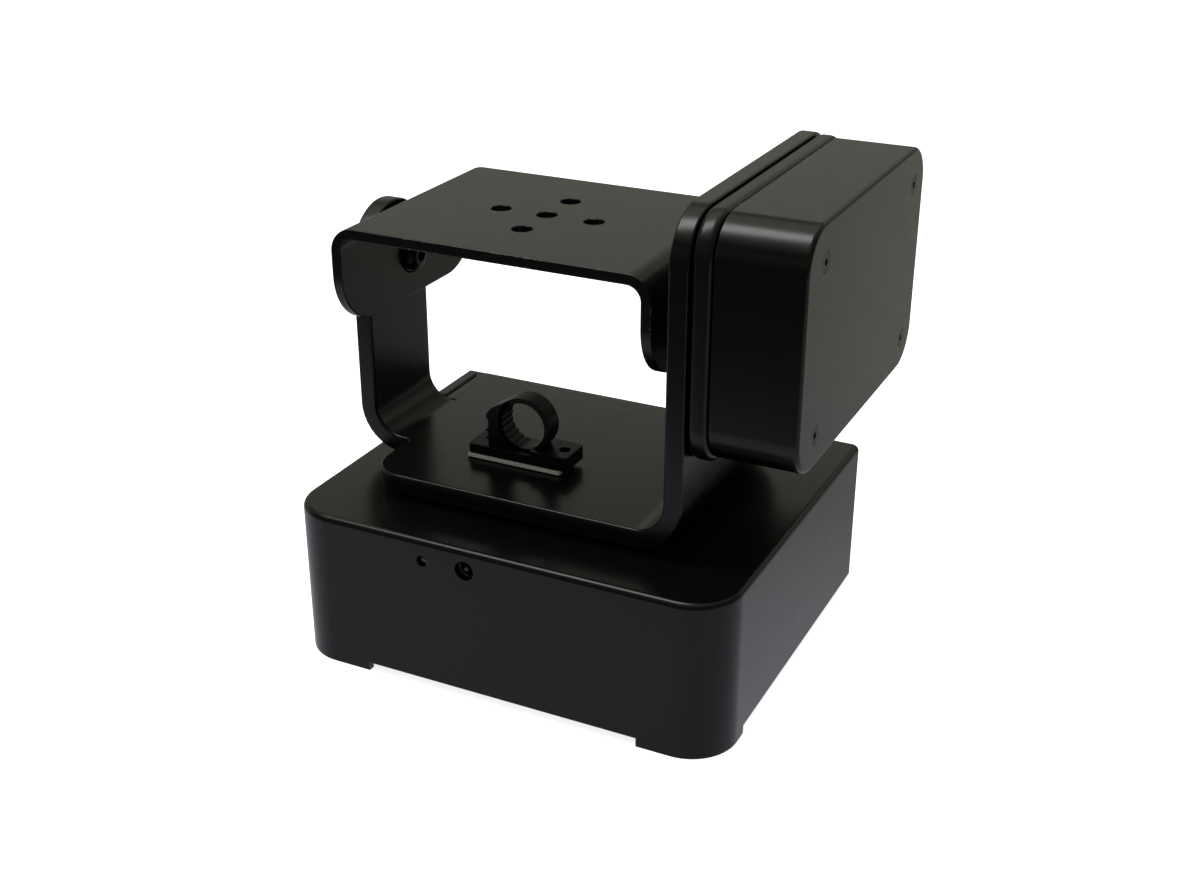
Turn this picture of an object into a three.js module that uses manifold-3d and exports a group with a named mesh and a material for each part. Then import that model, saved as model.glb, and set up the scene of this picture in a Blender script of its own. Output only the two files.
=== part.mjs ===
// Remote pan tilt head: a coated metal base that turns a bent yoke, and a tilting camera platform
// held between the yoke's arms, with the tilt drive in a rounded box outside the tall arm.
// Lengths are in millimetres. X points right, Y points back and Z points up.
// Places are measured from the middle of the base, at the level of the table.
import * as THREE from "three";
import { mergeVertices } from "three/addons/utils/BufferGeometryUtils.js";
import Module from "manifold-3d";

const wasm = await Module();
wasm.setup();

// Clearances and cutting
const SEAT = 0.3; // gap between a piece and what it is seated on
const RUNNING = 0.25; // radial gap between a shaft and what it turns in
const OVERRUN = 4; // how far a cutter runs past the face that it opens
const WELD = 0.001; // corners closer than this are one corner
const FULL_TURN = 2 * Math.PI;

// Number of flats on round pieces and of steps in a rounded corner
const FACETS = { small: 8, round: 18, large: 30, corner: 6, bend: 5, edge: 2 };

// Base housing: a box open below, with feet of its own at the two front corners
const BASE = {
  width: 150,
  depth: 127,
  height: 53,
  wall: 2.5,
  top: 2,
  frontCorner: 15.5,
  backCorner: 3,
  topEdge: 2,
  skirt: 3.1,
  leftFoot: 28.7,
  rightFoot: 26.6,
  sideFoot: 20.5,
};

// Posts inside the housing that carry the bottom plate
const POST = { diameter: 8, insetX: 12.5, insetY: 12.5, ribWidth: 2 };

// Bottom plate and rear feet
const BOTTOM = { thickness: 2, fit: 0.4 };
const REAR_FOOT = { diameter: 14, insetX: 24, insetY: 17, dimple: 6, dimpleDepth: 1.2 };

// Screws by thread size: shank, head diameter and head height of a countersunk screw, and its socket
const M3 = { shank: 3, head: 6.2, headHeight: 1.7, socket: 2, socketDepth: 1.1 };
const M4 = { shank: 4, head: 7.4, headHeight: 2.2, socket: 2.5, socketDepth: 1.4 };

// Pan axis, turntable shaft and its bearing
const PAN = {
  x: -12,
  y: 0,
  flangeDiameter: 56,
  flange: 2,
  shaftDiameter: 20,
  shaftEnd: 7.9,
  screwCircle: 40,
  bearingDiameter: 32,
  bearingWidth: 9.4,
  bossWall: 3,
  lip: 1.5,
  nutAcross: 30,
  nutHeight: 3,
  sleeveWall: 2.2,
};

// Spur gears: module is the pitch diameter per tooth
const GEAR = {
  module: 1.5, pressureAngle: (20 / 360) * FULL_TURN, backlash: 0.24, addendum: 0.95, dedendum: 1.2,
};
const PAN_GEAR = { teeth: 48, width: 8, bottom: 11.5, webInset: 6, web: 4, hubWall: 5 };
const PAN_PINION = { teeth: 12, stub: 6, stubLength: 8 };

// Pan motor, its bracket and the bracket's screws
const PAN_MOTOR = { diameter: 32, length: 22.5, spigot: 12, spigotHeight: 1.5, flat: 29, terminal: 3 };
const PAN_BRACKET = {
  sheet: 2, width: 30, bendOuter: 3.2, bendInner: 1.2, flange: 10, clear: 1.5, top: 45, slack: 1,
};

// Control board on the back wall
const BOARD = {
  width: 78,
  height: 30,
  thickness: 1.6,
  sideGap: 22.5,
  bottom: 14,
  standoff: 7,
  standoffDiameter: 7,
  inset: 6,
};
const BOARD_PART = {
  chipWidth: 14,
  chipHeight: 8,
  chipDepth: 2.4,
  canDiameter: 8,
  canLength: 12,
  plugWidth: 18,
  plugDepth: 8,
};

// Openings in the front wall
const INLET = {
  x: -9.4,
  z: 46,
  window: 6.5,
  bodyDiameter: 9.2,
  length: 14,
  bore: 5.7,
  boreDepth: 9.5,
  pin: 2.1,
  pinSetBack: 1.2,
  pinTail: 3,
};
const LENS = { x: -24.3, z: 45.8, diameter: 3.1, flange: 5.4, flangeThickness: 1.4, setBack: 0.9, tail: 1.6 };

// Yoke: one plate bent up at both ends
const YOKE = {
  sheet: 6,
  plateTop: 61.6,
  bendOuter: 15.5,
  depth: 86.4,
  leftFace: -75.2,
  rightFace: 52.8,
  rightTop: 159.6,
  rightBack: 73,
  wideBottom: 83,
  frontTopCorner: 16.5,
  backTopCorner: 13,
  wideCorner: 13,
  waistCorner: 10,
  plateLeft: -55.4,
  plateCorner: 11,
  notch: 2.2,
  notchDepth: 3.2,
};

// Left arm: a strip with a round top about the tilt axis
const LEFT_ARM = { width: 35 };

// Tab beside the left arm's bend, parted from it by a narrow slot
const TAB = {
  left: -69.1,
  front: 20.2,
  back: 44.3,
  stepX: -55,
  slotX: -64.3,
  slotWidth: 0.6,
  slotEnd: 41,
  corner: 1.2,
};

// Tilt axis
const TILT = { y: 0, z: 120 };

// Camera platform: a bent sheet with a flange down each side
const PLATFORM = {
  sheet: 3.4,
  top: 139.9,
  left: -66.6,
  right: 40.8,
  bottom: 106,
  depth: 80.7,
  bendOuter: 8,
  cornerRadius: 18,
  topCorner: 2.5,
  holeX: -13,
  holeDiameter: 6.5,
  holeSpacing: 16.3,
};

// Left pivot: a bush in the platform's flange turns on a bolt that is screwed into the left arm
const PIVOT = {
  bolt: 8,
  head: 14,
  headRim: 1.2,
  headHeight: 4.4,
  crown: 8,
  socket: 5,
  socketDepth: 2.6,
  bush: 12,
  bushFlange: 20,
  boltSetBack: 0.5,
};

// Tilt output shaft in the right arm
const SHAFT = {
  diameter: 12,
  flangeDiameter: 34,
  flange: 3,
  collarDiameter: 18,
  spigotDiameter: 12,
  screwCircle: 24,
  bushDiameter: 18,
  end: 75,
  nutAcross: 19,
  nutHeight: 5,
};

// Tilt drive: back plate on the arm, cover over the gears
const DRIVE = {
  plate: 6,
  front: -42.3,
  back: 72.6,
  bottom: 83.4,
  top: 159.3,
  corner: 13.5,
  edge: 1.8,
};
const COVER = {
  outer: 86.3,
  front: -41,
  back: 71.5,
  bottom: 84.8,
  top: 158.8,
  corner: 13,
  edge: 1.4,
  wall: 2.8,
  face: 2.8,
  screwFront: -26.5,
  screwBack: 59.5,
  screwLow: 95.3,
  screwHigh: 147,
  bossDiameter: 8,
};
const MOUNT_SCREW = { inset: 14, rise: 12, depth: 4.4 };
const TILT_GEAR = { teeth: 38, width: 6, standoff: 2, hubDiameter: 20, webInset: 6, web: 3 };
const TILT_PINION = { teeth: 12, stub: 5, stubLength: 6, angle: (-35 / 360) * FULL_TURN };
const TILT_MOTOR = {
  boxFront: 19.5,
  boxBack: 54.3,
  boxBottom: 89.5,
  boxTop: 110.6,
  boxThickness: 10.6,
  canY: 43.5,
  canDiameter: 21,
  canTop: 150,
  legDiameter: 7,
  legY: 46.5,
  legLow: 95,
  legHigh: 104.4,
  screwHead: 5.5,
  screwHeadHeight: 2,
  screwReach: 4,
  boxCorner: 1,
};

// Cable clip, stuck on the plate of the yoke by a foam pad
const FOAM = { left: -32.2, right: 4.2, front: -21.2, back: -8, thickness: 1.2, corner: 0.8 };
const CLIP = {
  inset: 0.3,
  thickness: 3.1,
  corner: 1.2,
  bossLeft: -9.7,
  bossRise: 1.6,
  holeX: 0.2,
  holeDiameter: 3.8,
  loopX: -13,
  loopZ: 75.1,
  loopRadius: 9.4,
  ribbon: 1.6,
  front: -18.3,
  back: -11.1,
  postLeft: -25.8,
  latchLeft: -26.4,
  latchLow: 75,
  latchHigh: 76.9,
  shoulderX: -24.6,
  shoulderZ: 79.1,
  toothPitch: 2.7,
  toothHeight: 1.5,
  toothThickness: 1.3,
  toothCount: 2,
  toothStart: 68.1,
};

// Finishes
const FINISHES = {
  coat: { color: 0x1d1d1b, roughness: 0.5, metalness: 0.2 },
  coatDark: { color: 0x19181a, roughness: 0.55, metalness: 0.2 },
  steel: { color: 0x9a9b9c, roughness: 0.35, metalness: 1 },
  blackSteel: { color: 0x141414, roughness: 0.4, metalness: 0.6 },
  bronze: { color: 0x9c7444, roughness: 0.4, metalness: 1 },
  zinc: { color: 0xb8bab8, roughness: 0.4, metalness: 1 },
  nylon: { color: 0x0d0d0d, roughness: 0.45, metalness: 0 },
  foam: { color: 0xb9b7b0, roughness: 0.95, metalness: 0 },
  rubber: { color: 0x161616, roughness: 0.9, metalness: 0 },
  plastic: { color: 0x101010, roughness: 0.4, metalness: 0 },
  lens: { color: 0x1a0505, roughness: 0.1, metalness: 0 },
  board: { color: 0x1d4a2a, roughness: 0.6, metalness: 0 },
};

// Places that several pieces share
const plateUnder = YOKE.plateTop - YOKE.sheet;
const armInner = YOKE.rightFace - YOKE.sheet;
const leftArmInner = YOKE.leftFace + YOKE.sheet;
const yokeBendInner = YOKE.bendOuter - YOKE.sheet;
const yokeFront = -YOKE.depth / 2;
const yokeBack = YOKE.depth / 2;
const drivePlateInner = YOKE.rightFace + SEAT;
const drivePlateOuter = drivePlateInner + DRIVE.plate;
const coverInner = drivePlateOuter + SEAT;
const cavityTop = BASE.height - BASE.top;
const bottomPlateTop = BASE.skirt + BOTTOM.thickness;
const innerHalfWidth = BASE.width / 2 - BASE.wall;
const innerHalfDepth = BASE.depth / 2 - BASE.wall;
const boardLeft = BOARD.sideGap - innerHalfWidth;
const frontWallInner = -innerHalfDepth;
const panGearTop = PAN_GEAR.bottom + PAN_GEAR.width;
const panCentres = (GEAR.module * (PAN_GEAR.teeth + PAN_PINION.teeth)) / 2;
const tiltCentres = (GEAR.module * (TILT_GEAR.teeth + TILT_PINION.teeth)) / 2;
const panMotorX = PAN.x + panCentres;
const tiltGearInner = drivePlateOuter + TILT_GEAR.standoff;
const tiltGearOuter = tiltGearInner + TILT_GEAR.width;
const pinionY = TILT.y + tiltCentres * Math.cos(TILT_PINION.angle);
const pinionZ = TILT.z + tiltCentres * Math.sin(TILT_PINION.angle);
const motorBoxInner = tiltGearOuter + TILT_GEAR.standoff;
const motorBoxOuter = motorBoxInner + TILT_MOTOR.boxThickness;
const postX = BASE.width / 2 - POST.insetX;
const postY = BASE.depth / 2 - POST.insetY;

// A closed three.js geometry as a solid that can be joined and cut
function solid(geometry) {
  const bare = geometry.index ? geometry.toNonIndexed() : geometry.clone();
  bare.deleteAttribute("normal");
  bare.deleteAttribute("uv");
  const merged = mergeVertices(bare, WELD);
  return new wasm.Manifold(
    new wasm.Mesh({
      numProp: 3,
      vertProperties: merged.attributes.position.array,
      triVerts: new Uint32Array(merged.index.array),
    }),
  );
}

// A solid as a three.js geometry with flat shading
function geometryOf(shape) {
  const mesh = shape.getMesh();
  const indexed = new THREE.BufferGeometry();
  indexed.setAttribute("position", new THREE.BufferAttribute(new Float32Array(mesh.vertProperties), 3));
  indexed.setIndex(new THREE.BufferAttribute(new Uint32Array(mesh.triVerts), 1));
  const geometry = indexed.toNonIndexed();
  geometry.computeVertexNormals();
  return geometry;
}

// Box between two corners
function box(low, high) {
  const size = high.map((value, axis) => value - low[axis]);
  const geometry = new THREE.BoxGeometry(size[0], size[1], size[2]);
  geometry.translate(low[0] + size[0] / 2, low[1] + size[1] / 2, low[2] + size[2] / 2);
  return solid(geometry);
}

// Turns a geometry whose own axis is Z so that the axis lies along X, Y or Z
function alignTo(geometry, axis) {
  const matrix = new THREE.Matrix4();
  if (axis === "x") {
    matrix.makeBasis(new THREE.Vector3(0, 1, 0), new THREE.Vector3(0, 0, 1), new THREE.Vector3(1, 0, 0));
  }
  if (axis === "y") {
    matrix.makeBasis(new THREE.Vector3(0, 0, 1), new THREE.Vector3(1, 0, 0), new THREE.Vector3(0, 1, 0));
  }
  return geometry.applyMatrix4(matrix);
}

// Place of a point at (across, up) in the plane square to an axis, and at a station along that axis
function spot(axis, centre, along) {
  if (axis === "x") {
    return [along, centre[0], centre[1]];
  }
  if (axis === "y") {
    return [centre[1], along, centre[0]];
  }
  return [centre[0], centre[1], along];
}

// Cylinder or cone along an axis, from one station to another
function rod(axis, centre, from, to, diameter, facets = FACETS.round, endDiameter = diameter) {
  const length = to - from;
  const geometry = new THREE.CylinderGeometry(endDiameter / 2, diameter / 2, length, facets);
  geometry.rotateX(Math.PI / 2);
  alignTo(geometry, axis);
  const place = spot(axis, centre, from + length / 2);
  geometry.translate(place[0], place[1], place[2]);
  return solid(geometry);
}

// Prism with six flats; across is the distance between two of them
function hexagon(axis, centre, from, to, across) {
  return rod(axis, centre, from, to, across / Math.cos(FULL_TURN / 12), 6);
}

// Outline with rounded corners: each corner is [across, up, radius]
function rounded(corners, steps = FACETS.corner) {
  const points = [];
  corners.forEach(([across, up, radius], index) => {
    const corner = new THREE.Vector2(across, up);
    if (radius <= 0) {
      points.push(corner);
      return;
    }
    const before = corners[(index + corners.length - 1) % corners.length];
    const after = corners[(index + 1) % corners.length];
    const back = new THREE.Vector2(before[0], before[1]).sub(corner).normalize();
    const ahead = new THREE.Vector2(after[0], after[1]).sub(corner).normalize();
    const half = Math.acos(THREE.MathUtils.clamp(back.dot(ahead), -1, 1)) / 2;
    const reach = radius / Math.tan(half);
    const middle = back.clone().add(ahead).normalize().multiplyScalar(radius / Math.sin(half)).add(corner);
    const start = back.clone().multiplyScalar(reach).add(corner).sub(middle);
    const end = ahead.clone().multiplyScalar(reach).add(corner).sub(middle);
    const from = start.angle();
    const sweep = Math.atan2(start.cross(end), start.dot(end));
    for (let step = 0; step <= steps; step += 1) {
      const angle = from + (sweep * step) / steps;
      points.push(new THREE.Vector2(Math.cos(angle), Math.sin(angle)).multiplyScalar(radius).add(middle));
    }
  });
  return points;
}

// Prism of an outline: drawn in the plane square to the axis, and run from one station to another
function prism(axis, points, from, to) {
  const geometry = new THREE.ExtrudeGeometry(
    new THREE.Shape(points), { depth: to - from, bevelEnabled: false },
  );
  alignTo(geometry, axis);
  const place = spot(axis, [0, 0], from);
  geometry.translate(place[0], place[1], place[2]);
  return solid(geometry);
}

// Outline of a rectangle between two corners, with one radius per corner, all the way round
function rectangle(low, high, radii) {
  return [
    [low[0], low[1], radii[0]],
    [high[0], low[1], radii[1]],
    [high[0], high[1], radii[2]],
    [low[0], high[1], radii[3]],
  ];
}

// Solid through a stack of outlines that have the same number of points, each at its own station
function loft(axis, rings) {
  const count = rings[0].points.length;
  const positions = rings.flatMap(
    ({ points, station }) => points.flatMap((point) => [point.x, point.y, station]),
  );
  const faces = [];
  for (let ring = 0; ring + 1 < rings.length; ring += 1) {
    for (let index = 0; index < count; index += 1) {
      const next = (index + 1) % count;
      const a = ring * count + index;
      const b = ring * count + next;
      faces.push(a, b, b + count, a, b + count, a + count);
    }
  }
  const last = (rings.length - 1) * count;
  THREE.ShapeUtils.triangulateShape(rings[0].points, []).forEach(([a, b, c]) => faces.push(c, b, a));
  THREE.ShapeUtils.triangulateShape(rings[rings.length - 1].points, []).forEach(([a, b, c]) => {
    faces.push(last + a, last + b, last + c);
  });
  const geometry = new THREE.BufferGeometry();
  geometry.setAttribute("position", new THREE.Float32BufferAttribute(positions, 3));
  geometry.setIndex(faces);
  return solid(alignTo(geometry, axis));
}

// Block with rounded corners all round, a rounded edge at its far end and, if asked, at its near end
function edgedBlock(axis, low, high, radii, from, to, edge, nearEdge = 0) {
  const turns = Array.from({ length: FACETS.edge + 1 }, (_, step) => (FULL_TURN / 4) * (step / FACETS.edge));
  const near = turns.map((turn) => [nearEdge * (1 - Math.sin(turn)), from + nearEdge * (1 - Math.cos(turn))]);
  const far = turns.map((turn) => [edge * (1 - Math.cos(turn)), to - edge * (1 - Math.sin(turn))]);
  const levels = nearEdge > 0 ? near.concat(far) : [[0, from]].concat(far);
  return loft(axis, levels.map(([inset, station]) => {
    const corners = rectangle(
      [low[0] + inset, low[1] + inset],
      [high[0] - inset, high[1] - inset],
      radii.map((radius) => radius - inset),
    );
    return { points: rounded(corners), station };
  }));
}

// Solid of revolution about an axis: the profile is [radius, station], closed on the axis
function turned(axis, centre, profile, facets = FACETS.round) {
  const points = profile.map(([radius, station]) => new THREE.Vector2(radius, station));
  const geometry = new THREE.LatheGeometry(points, facets);
  geometry.rotateX(Math.PI / 2);
  alignTo(geometry, axis);
  const place = spot(axis, centre, 0);
  geometry.translate(place[0], place[1], place[2]);
  return solid(geometry);
}

// Countersunk screw: its head's flat face is at one station and its tip at another
function countersunk(axis, centre, face, tip, size) {
  const way = Math.sign(tip - face);
  const neck = face + way * size.headHeight;
  const cone = way > 0
    ? rod(axis, centre, face, neck, size.head, FACETS.small, size.shank)
    : rod(axis, centre, neck, face, size.shank, FACETS.small, size.head);
  const shank = rod(axis, centre, Math.min(neck, tip), Math.max(neck, tip), size.shank, FACETS.small);
  const socketEnd = face + way * size.socketDepth;
  const socketStart = face - way * OVERRUN;
  const socket = hexagon(
    axis, centre, Math.min(socketStart, socketEnd), Math.max(socketStart, socketEnd), size.socket,
  );
  return cone.add(shank).subtract(socket);
}

// Hole for a countersunk screw, a seat's gap larger all round
function countersunkHole(axis, centre, face, tip, size) {
  const way = Math.sign(tip - face);
  const neck = face + way * size.headHeight;
  const wide = size.head + 2 * SEAT;
  const narrow = size.shank + 2 * SEAT;
  const mouth = face - way * OVERRUN;
  const cone = way > 0
    ? rod(axis, centre, face, neck, wide, FACETS.small, narrow)
    : rod(axis, centre, neck, face, narrow, FACETS.small, wide);
  const bore = rod(axis, centre, Math.min(face, tip), Math.max(face, tip), narrow, FACETS.small);
  const opening = rod(axis, centre, Math.min(mouth, face), Math.max(mouth, face), wide, FACETS.small);
  return cone.add(bore).add(opening);
}

// Points of a spur gear, with involute flanks above the base circle and straight ones below it
function gearOutline(teeth, turn) {
  const pitch = (GEAR.module * teeth) / 2;
  const baseCircle = pitch * Math.cos(GEAR.pressureAngle);
  const involute = (angle) => Math.tan(angle) - angle;
  const halfTooth = (radius) => {
    const flank = Math.max(radius, baseCircle);
    const thickness = FULL_TURN / (4 * teeth) - GEAR.backlash / (4 * pitch);
    return thickness + involute(GEAR.pressureAngle) - involute(Math.acos(baseCircle / flank));
  };
  const root = pitch - GEAR.dedendum * GEAR.module;
  const tip = pitch + GEAR.addendum * GEAR.module;
  const rising = [root, pitch, tip];
  const falling = [tip, pitch, root];
  const points = [];
  for (let tooth = 0; tooth < teeth; tooth += 1) {
    const centre = turn + (FULL_TURN * tooth) / teeth;
    rising.forEach((radius) => points.push([radius, centre - halfTooth(radius)]));
    falling.forEach((radius) => points.push([radius, centre + halfTooth(radius)]));
  }
  return points.map(
    ([radius, angle]) => new THREE.Vector2(radius * Math.cos(angle), radius * Math.sin(angle)),
  );
}

// Spur gear about an axis, turned so that a tooth, or a gap, points at its partner
function gear(axis, centre, from, to, teeth, turn) {
  const place = spot(axis, centre, 0);
  return prism(axis, gearOutline(teeth, turn), from, to).translate(place);
}

// Ring of places about a centre
function around(centre, circle, count, phase = 0) {
  const places = [];
  for (let index = 0; index < count; index += 1) {
    const angle = phase + (FULL_TURN * index) / count;
    places.push([centre[0] + (circle / 2) * Math.cos(angle), centre[1] + (circle / 2) * Math.sin(angle)]);
  }
  return places;
}

const part = new THREE.Group();
part.name = "remote_pan_tilt_head";

// Adds a piece to the part as a named mesh with its finish
function place(name, shape, finish) {
  const mesh = new THREE.Mesh(geometryOf(shape), new THREE.MeshStandardMaterial(FINISHES[finish]));
  mesh.name = name;
  part.add(mesh);
}

const panAxis = [PAN.x, PAN.y];
const tiltAxis = [TILT.y, TILT.z];
const postPlaces = [-1, 1].flatMap((sideX) => [-1, 1].map((sideY) => [sideX * postX, sideY * postY]));
const hubScrewPlaces = around(panAxis, PAN.screwCircle, 4);
const bearingBottom = cavityTop - SEAT - PAN.bearingWidth;

// Places of the bracket's screws, in X and Y
const bracketHalf = PAN_MOTOR.diameter / 2 + PAN_BRACKET.slack + PAN_BRACKET.sheet;
const bracketScrewY = bracketHalf + PAN_BRACKET.flange / 2;
const bracketScrewX = PAN_BRACKET.width / 4;
const bracketPlaces = [-1, 1].flatMap((sideX) =>
  [-1, 1].map((sideY) => [panMotorX + sideX * bracketScrewX, PAN.y + sideY * bracketScrewY]));
const bracketLow = panGearTop + PAN_BRACKET.clear;

// Places of the board's screws, in X and Z as the rod along Y takes them: up, across
const boardPlaces = [
  [BOARD.bottom + BOARD.height / 2, boardLeft + BOARD.inset],
  [BOARD.bottom + BOARD.height / 2, boardLeft + BOARD.width - BOARD.inset],
];
const boardFace = innerHalfDepth - BOARD.standoff - SEAT;

// Base housing
function baseHousing() {
  const halfWidth = BASE.width / 2;
  const halfDepth = BASE.depth / 2;
  const outerRadii = [BASE.frontCorner, BASE.frontCorner, BASE.backCorner, BASE.backCorner];
  const innerRadii = outerRadii.map((radius) => Math.max(radius - BASE.wall, BASE.wall / 2));
  const shell = edgedBlock(
    "z", [-halfWidth, -halfDepth], [halfWidth, halfDepth], outerRadii, 0, BASE.height, BASE.topEdge,
  );
  const hollow = prism(
    "z",
    rounded(rectangle([-innerHalfWidth, -innerHalfDepth], [innerHalfWidth, innerHalfDepth], innerRadii)),
    -OVERRUN,
    cavityTop,
  );
  const sideFootEnd = -halfDepth + BASE.sideFoot;
  const frontGap = box(
    [-halfWidth + BASE.leftFoot, -halfDepth - OVERRUN, -OVERRUN],
    [halfWidth - BASE.rightFoot, sideFootEnd, BASE.skirt],
  );
  const backGap = box(
    [-halfWidth - OVERRUN, sideFootEnd, -OVERRUN],
    [halfWidth + OVERRUN, halfDepth + OVERRUN, BASE.skirt],
  );
  let housing = shell.subtract(hollow).subtract(frontGap).subtract(backGap);
  const bossDiameter = PAN.bearingDiameter + 2 * SEAT + 2 * PAN.bossWall;
  housing = housing.add(rod(
    "z", panAxis, bearingBottom - PAN.lip, cavityTop + BASE.top / 2, bossDiameter, FACETS.large,
  ));
  postPlaces.forEach(([x, y]) => {
    housing = housing.add(rod(
      "z", [x, y], bottomPlateTop + SEAT, cavityTop + BASE.top / 2, POST.diameter, FACETS.small,
    ));
    const wallX = Math.sign(x) * (halfWidth - BASE.wall / 2);
    housing = housing.add(box(
      [Math.min(x, wallX), y - POST.ribWidth / 2, bottomPlateTop + SEAT + POST.diameter],
      [Math.max(x, wallX), y + POST.ribWidth / 2, cavityTop + BASE.top / 2],
    ));
  });
  bracketPlaces.forEach((centre) => {
    housing = housing.add(rod(
      "z", centre, PAN_BRACKET.top + SEAT, cavityTop + BASE.top / 2, POST.diameter, FACETS.small,
    ));
  });
  boardPlaces.forEach((centre) => {
    const wallMiddle = innerHalfDepth + BASE.wall / 2;
    housing = housing.add(rod(
      "y", centre, boardFace + SEAT, wallMiddle, BOARD.standoffDiameter, FACETS.small,
    ));
  });
  housing = housing
    .subtract(rod(
      "z", panAxis, bearingBottom - OVERRUN, cavityTop, PAN.bearingDiameter + 2 * SEAT, FACETS.large,
    ))
    .subtract(rod(
      "z", panAxis, 0, BASE.height + OVERRUN, PAN.shaftDiameter + 2 * PAN.sleeveWall, FACETS.large,
    ));
  postPlaces.forEach((centre) => {
    const depth = BASE.skirt + M3.headHeight + POST.diameter + SEAT;
    housing = housing.subtract(rod("z", centre, 0, depth + SEAT, M3.shank + 2 * SEAT, FACETS.small));
  });
  bracketPlaces.forEach((centre) => {
    const reach = cavityTop - SEAT;
    housing = housing.subtract(rod("z", centre, PAN_BRACKET.top, reach, M3.shank + 2 * SEAT, FACETS.small));
  });
  boardPlaces.forEach((centre) => {
    housing = housing.subtract(rod(
      "y", centre, boardFace - OVERRUN, innerHalfDepth, M3.shank + 2 * SEAT, FACETS.small,
    ));
  });
  const outside = -halfDepth - OVERRUN;
  return housing
    .subtract(rod("y", [INLET.z, INLET.x], outside, frontWallInner + OVERRUN, INLET.window, FACETS.round))
    .subtract(rod(
      "y", [LENS.z, LENS.x], outside, frontWallInner + OVERRUN, LENS.diameter + 2 * SEAT, FACETS.small,
    ));
}

// Bottom plate, recessed between the walls, with its screw holes
function bottomPlate() {
  const halfWidth = innerHalfWidth - BOTTOM.fit;
  const halfDepth = innerHalfDepth - BOTTOM.fit;
  const frontRadius = BASE.frontCorner - BASE.wall;
  const radii = [frontRadius, frontRadius, BASE.backCorner, BASE.backCorner];
  let plate = prism("z", rounded(rectangle(
    [-halfWidth, -halfDepth], [halfWidth, halfDepth], radii,
  )), BASE.skirt, bottomPlateTop);
  postPlaces.forEach((centre) => {
    plate = plate.subtract(countersunkHole("z", centre, BASE.skirt, bottomPlateTop + OVERRUN, M3));
  });
  return plate;
}

// Rear rubber foot with a dimple in its underside
function rearFoot(side) {
  const centre = [side * (BASE.width / 2 - REAR_FOOT.insetX), BASE.depth / 2 - REAR_FOOT.insetY];
  const disc = rod(
    "z",
    centre,
    0,
    BASE.skirt - SEAT,
    REAR_FOOT.diameter,
    FACETS.round,
    REAR_FOOT.diameter - REAR_FOOT.dimpleDepth,
  );
  return disc.subtract(rod("z", centre, -OVERRUN, REAR_FOOT.dimpleDepth, REAR_FOOT.dimple, FACETS.small));
}

// Round power inlet behind its window in the front wall
function powerInlet() {
  const centre = [INLET.z, INLET.x];
  const front = frontWallInner + SEAT;
  return rod("y", centre, front, front + INLET.length, INLET.bodyDiameter)
    .subtract(rod("y", centre, front - OVERRUN, front + INLET.boreDepth, INLET.bore))
    .subtract(rod("y", centre, front, front + INLET.length + OVERRUN, INLET.pin + 2 * SEAT, FACETS.small));
}

// Centre pin of the inlet, with its solder tail behind
function inletPin() {
  const front = -BASE.depth / 2 + INLET.pinSetBack;
  const back = frontWallInner + SEAT + INLET.length + INLET.pinTail;
  return rod("y", [INLET.z, INLET.x], front, back, INLET.pin, FACETS.small);
}

// Indicator lens, set back in its hole, with a flange behind the wall
function indicatorLens() {
  const centre = [LENS.z, LENS.x];
  const flange = frontWallInner + SEAT;
  return rod(
    "y",
    centre,
    -BASE.depth / 2 + LENS.setBack,
    flange + LENS.flangeThickness + LENS.tail,
    LENS.diameter,
    FACETS.small,
  )
    .add(rod("y", centre, flange, flange + LENS.flangeThickness, LENS.flange, FACETS.small));
}

// Pan bearing, one ring with a groove between its races on both faces
function panBearing() {
  const outer = PAN.bearingDiameter / 2;
  const inner = PAN.shaftDiameter / 2 + RUNNING;
  const low = bearingBottom;
  const high = cavityTop - SEAT;
  const groove = (outer - inner) / 4;
  const middle = (outer + inner) / 2;
  return turned("z", panAxis, [
    [inner, low],
    [middle - groove, low],
    [middle - groove, low + groove],
    [middle + groove, low + groove],
    [middle + groove, low],
    [outer, low],
    [outer, high],
    [middle + groove, high],
    [middle + groove, high - groove],
    [middle - groove, high - groove],
    [middle - groove, high],
    [inner, high],
    [inner, low],
  ], FACETS.round);
}

// Pan shaft with the turntable flange under the yoke
function panShaft() {
  const high = plateUnder - SEAT;
  let shaft = rod("z", panAxis, high - PAN.flange, high, PAN.flangeDiameter, FACETS.large)
    .add(rod("z", panAxis, PAN.shaftEnd, high, PAN.shaftDiameter, FACETS.large));
  hubScrewPlaces.forEach((centre) => {
    shaft = shaft.subtract(countersunkHole("z", centre, high - PAN.flange, high + OVERRUN, M3));
  });
  return shaft;
}

// Sleeve between the pan bearing and the pan gear
function panSleeve() {
  const bore = PAN.shaftDiameter + 2 * SEAT;
  const outer = bore + 2 * PAN.sleeveWall;
  return rod("z", panAxis, panGearTop + SEAT, bearingBottom - SEAT, outer)
    .subtract(rod("z", panAxis, 0, BASE.height, bore));
}

// Pan gear with a thinned web between rim and hub
function panGear() {
  const rim = GEAR.module * PAN_GEAR.teeth - 2 * PAN_GEAR.webInset;
  const hub = PAN.shaftDiameter + 2 * PAN_GEAR.hubWall;
  const web = rod("z", panAxis, PAN_GEAR.bottom + PAN_GEAR.web, panGearTop + OVERRUN, rim, FACETS.large)
    .subtract(rod("z", panAxis, 0, BASE.height, hub, FACETS.round));
  return gear("z", panAxis, PAN_GEAR.bottom, panGearTop, PAN_GEAR.teeth, 0)
    .subtract(web)
    .subtract(rod("z", panAxis, 0, BASE.height, PAN.shaftDiameter + 2 * SEAT));
}

// Nut under the pan gear
function panNut() {
  const high = PAN_GEAR.bottom - SEAT;
  return hexagon("z", panAxis, high - PAN.nutHeight, high, PAN.nutAcross)
    .subtract(rod("z", panAxis, 0, BASE.height, PAN.shaftDiameter + 2 * SEAT));
}

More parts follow.
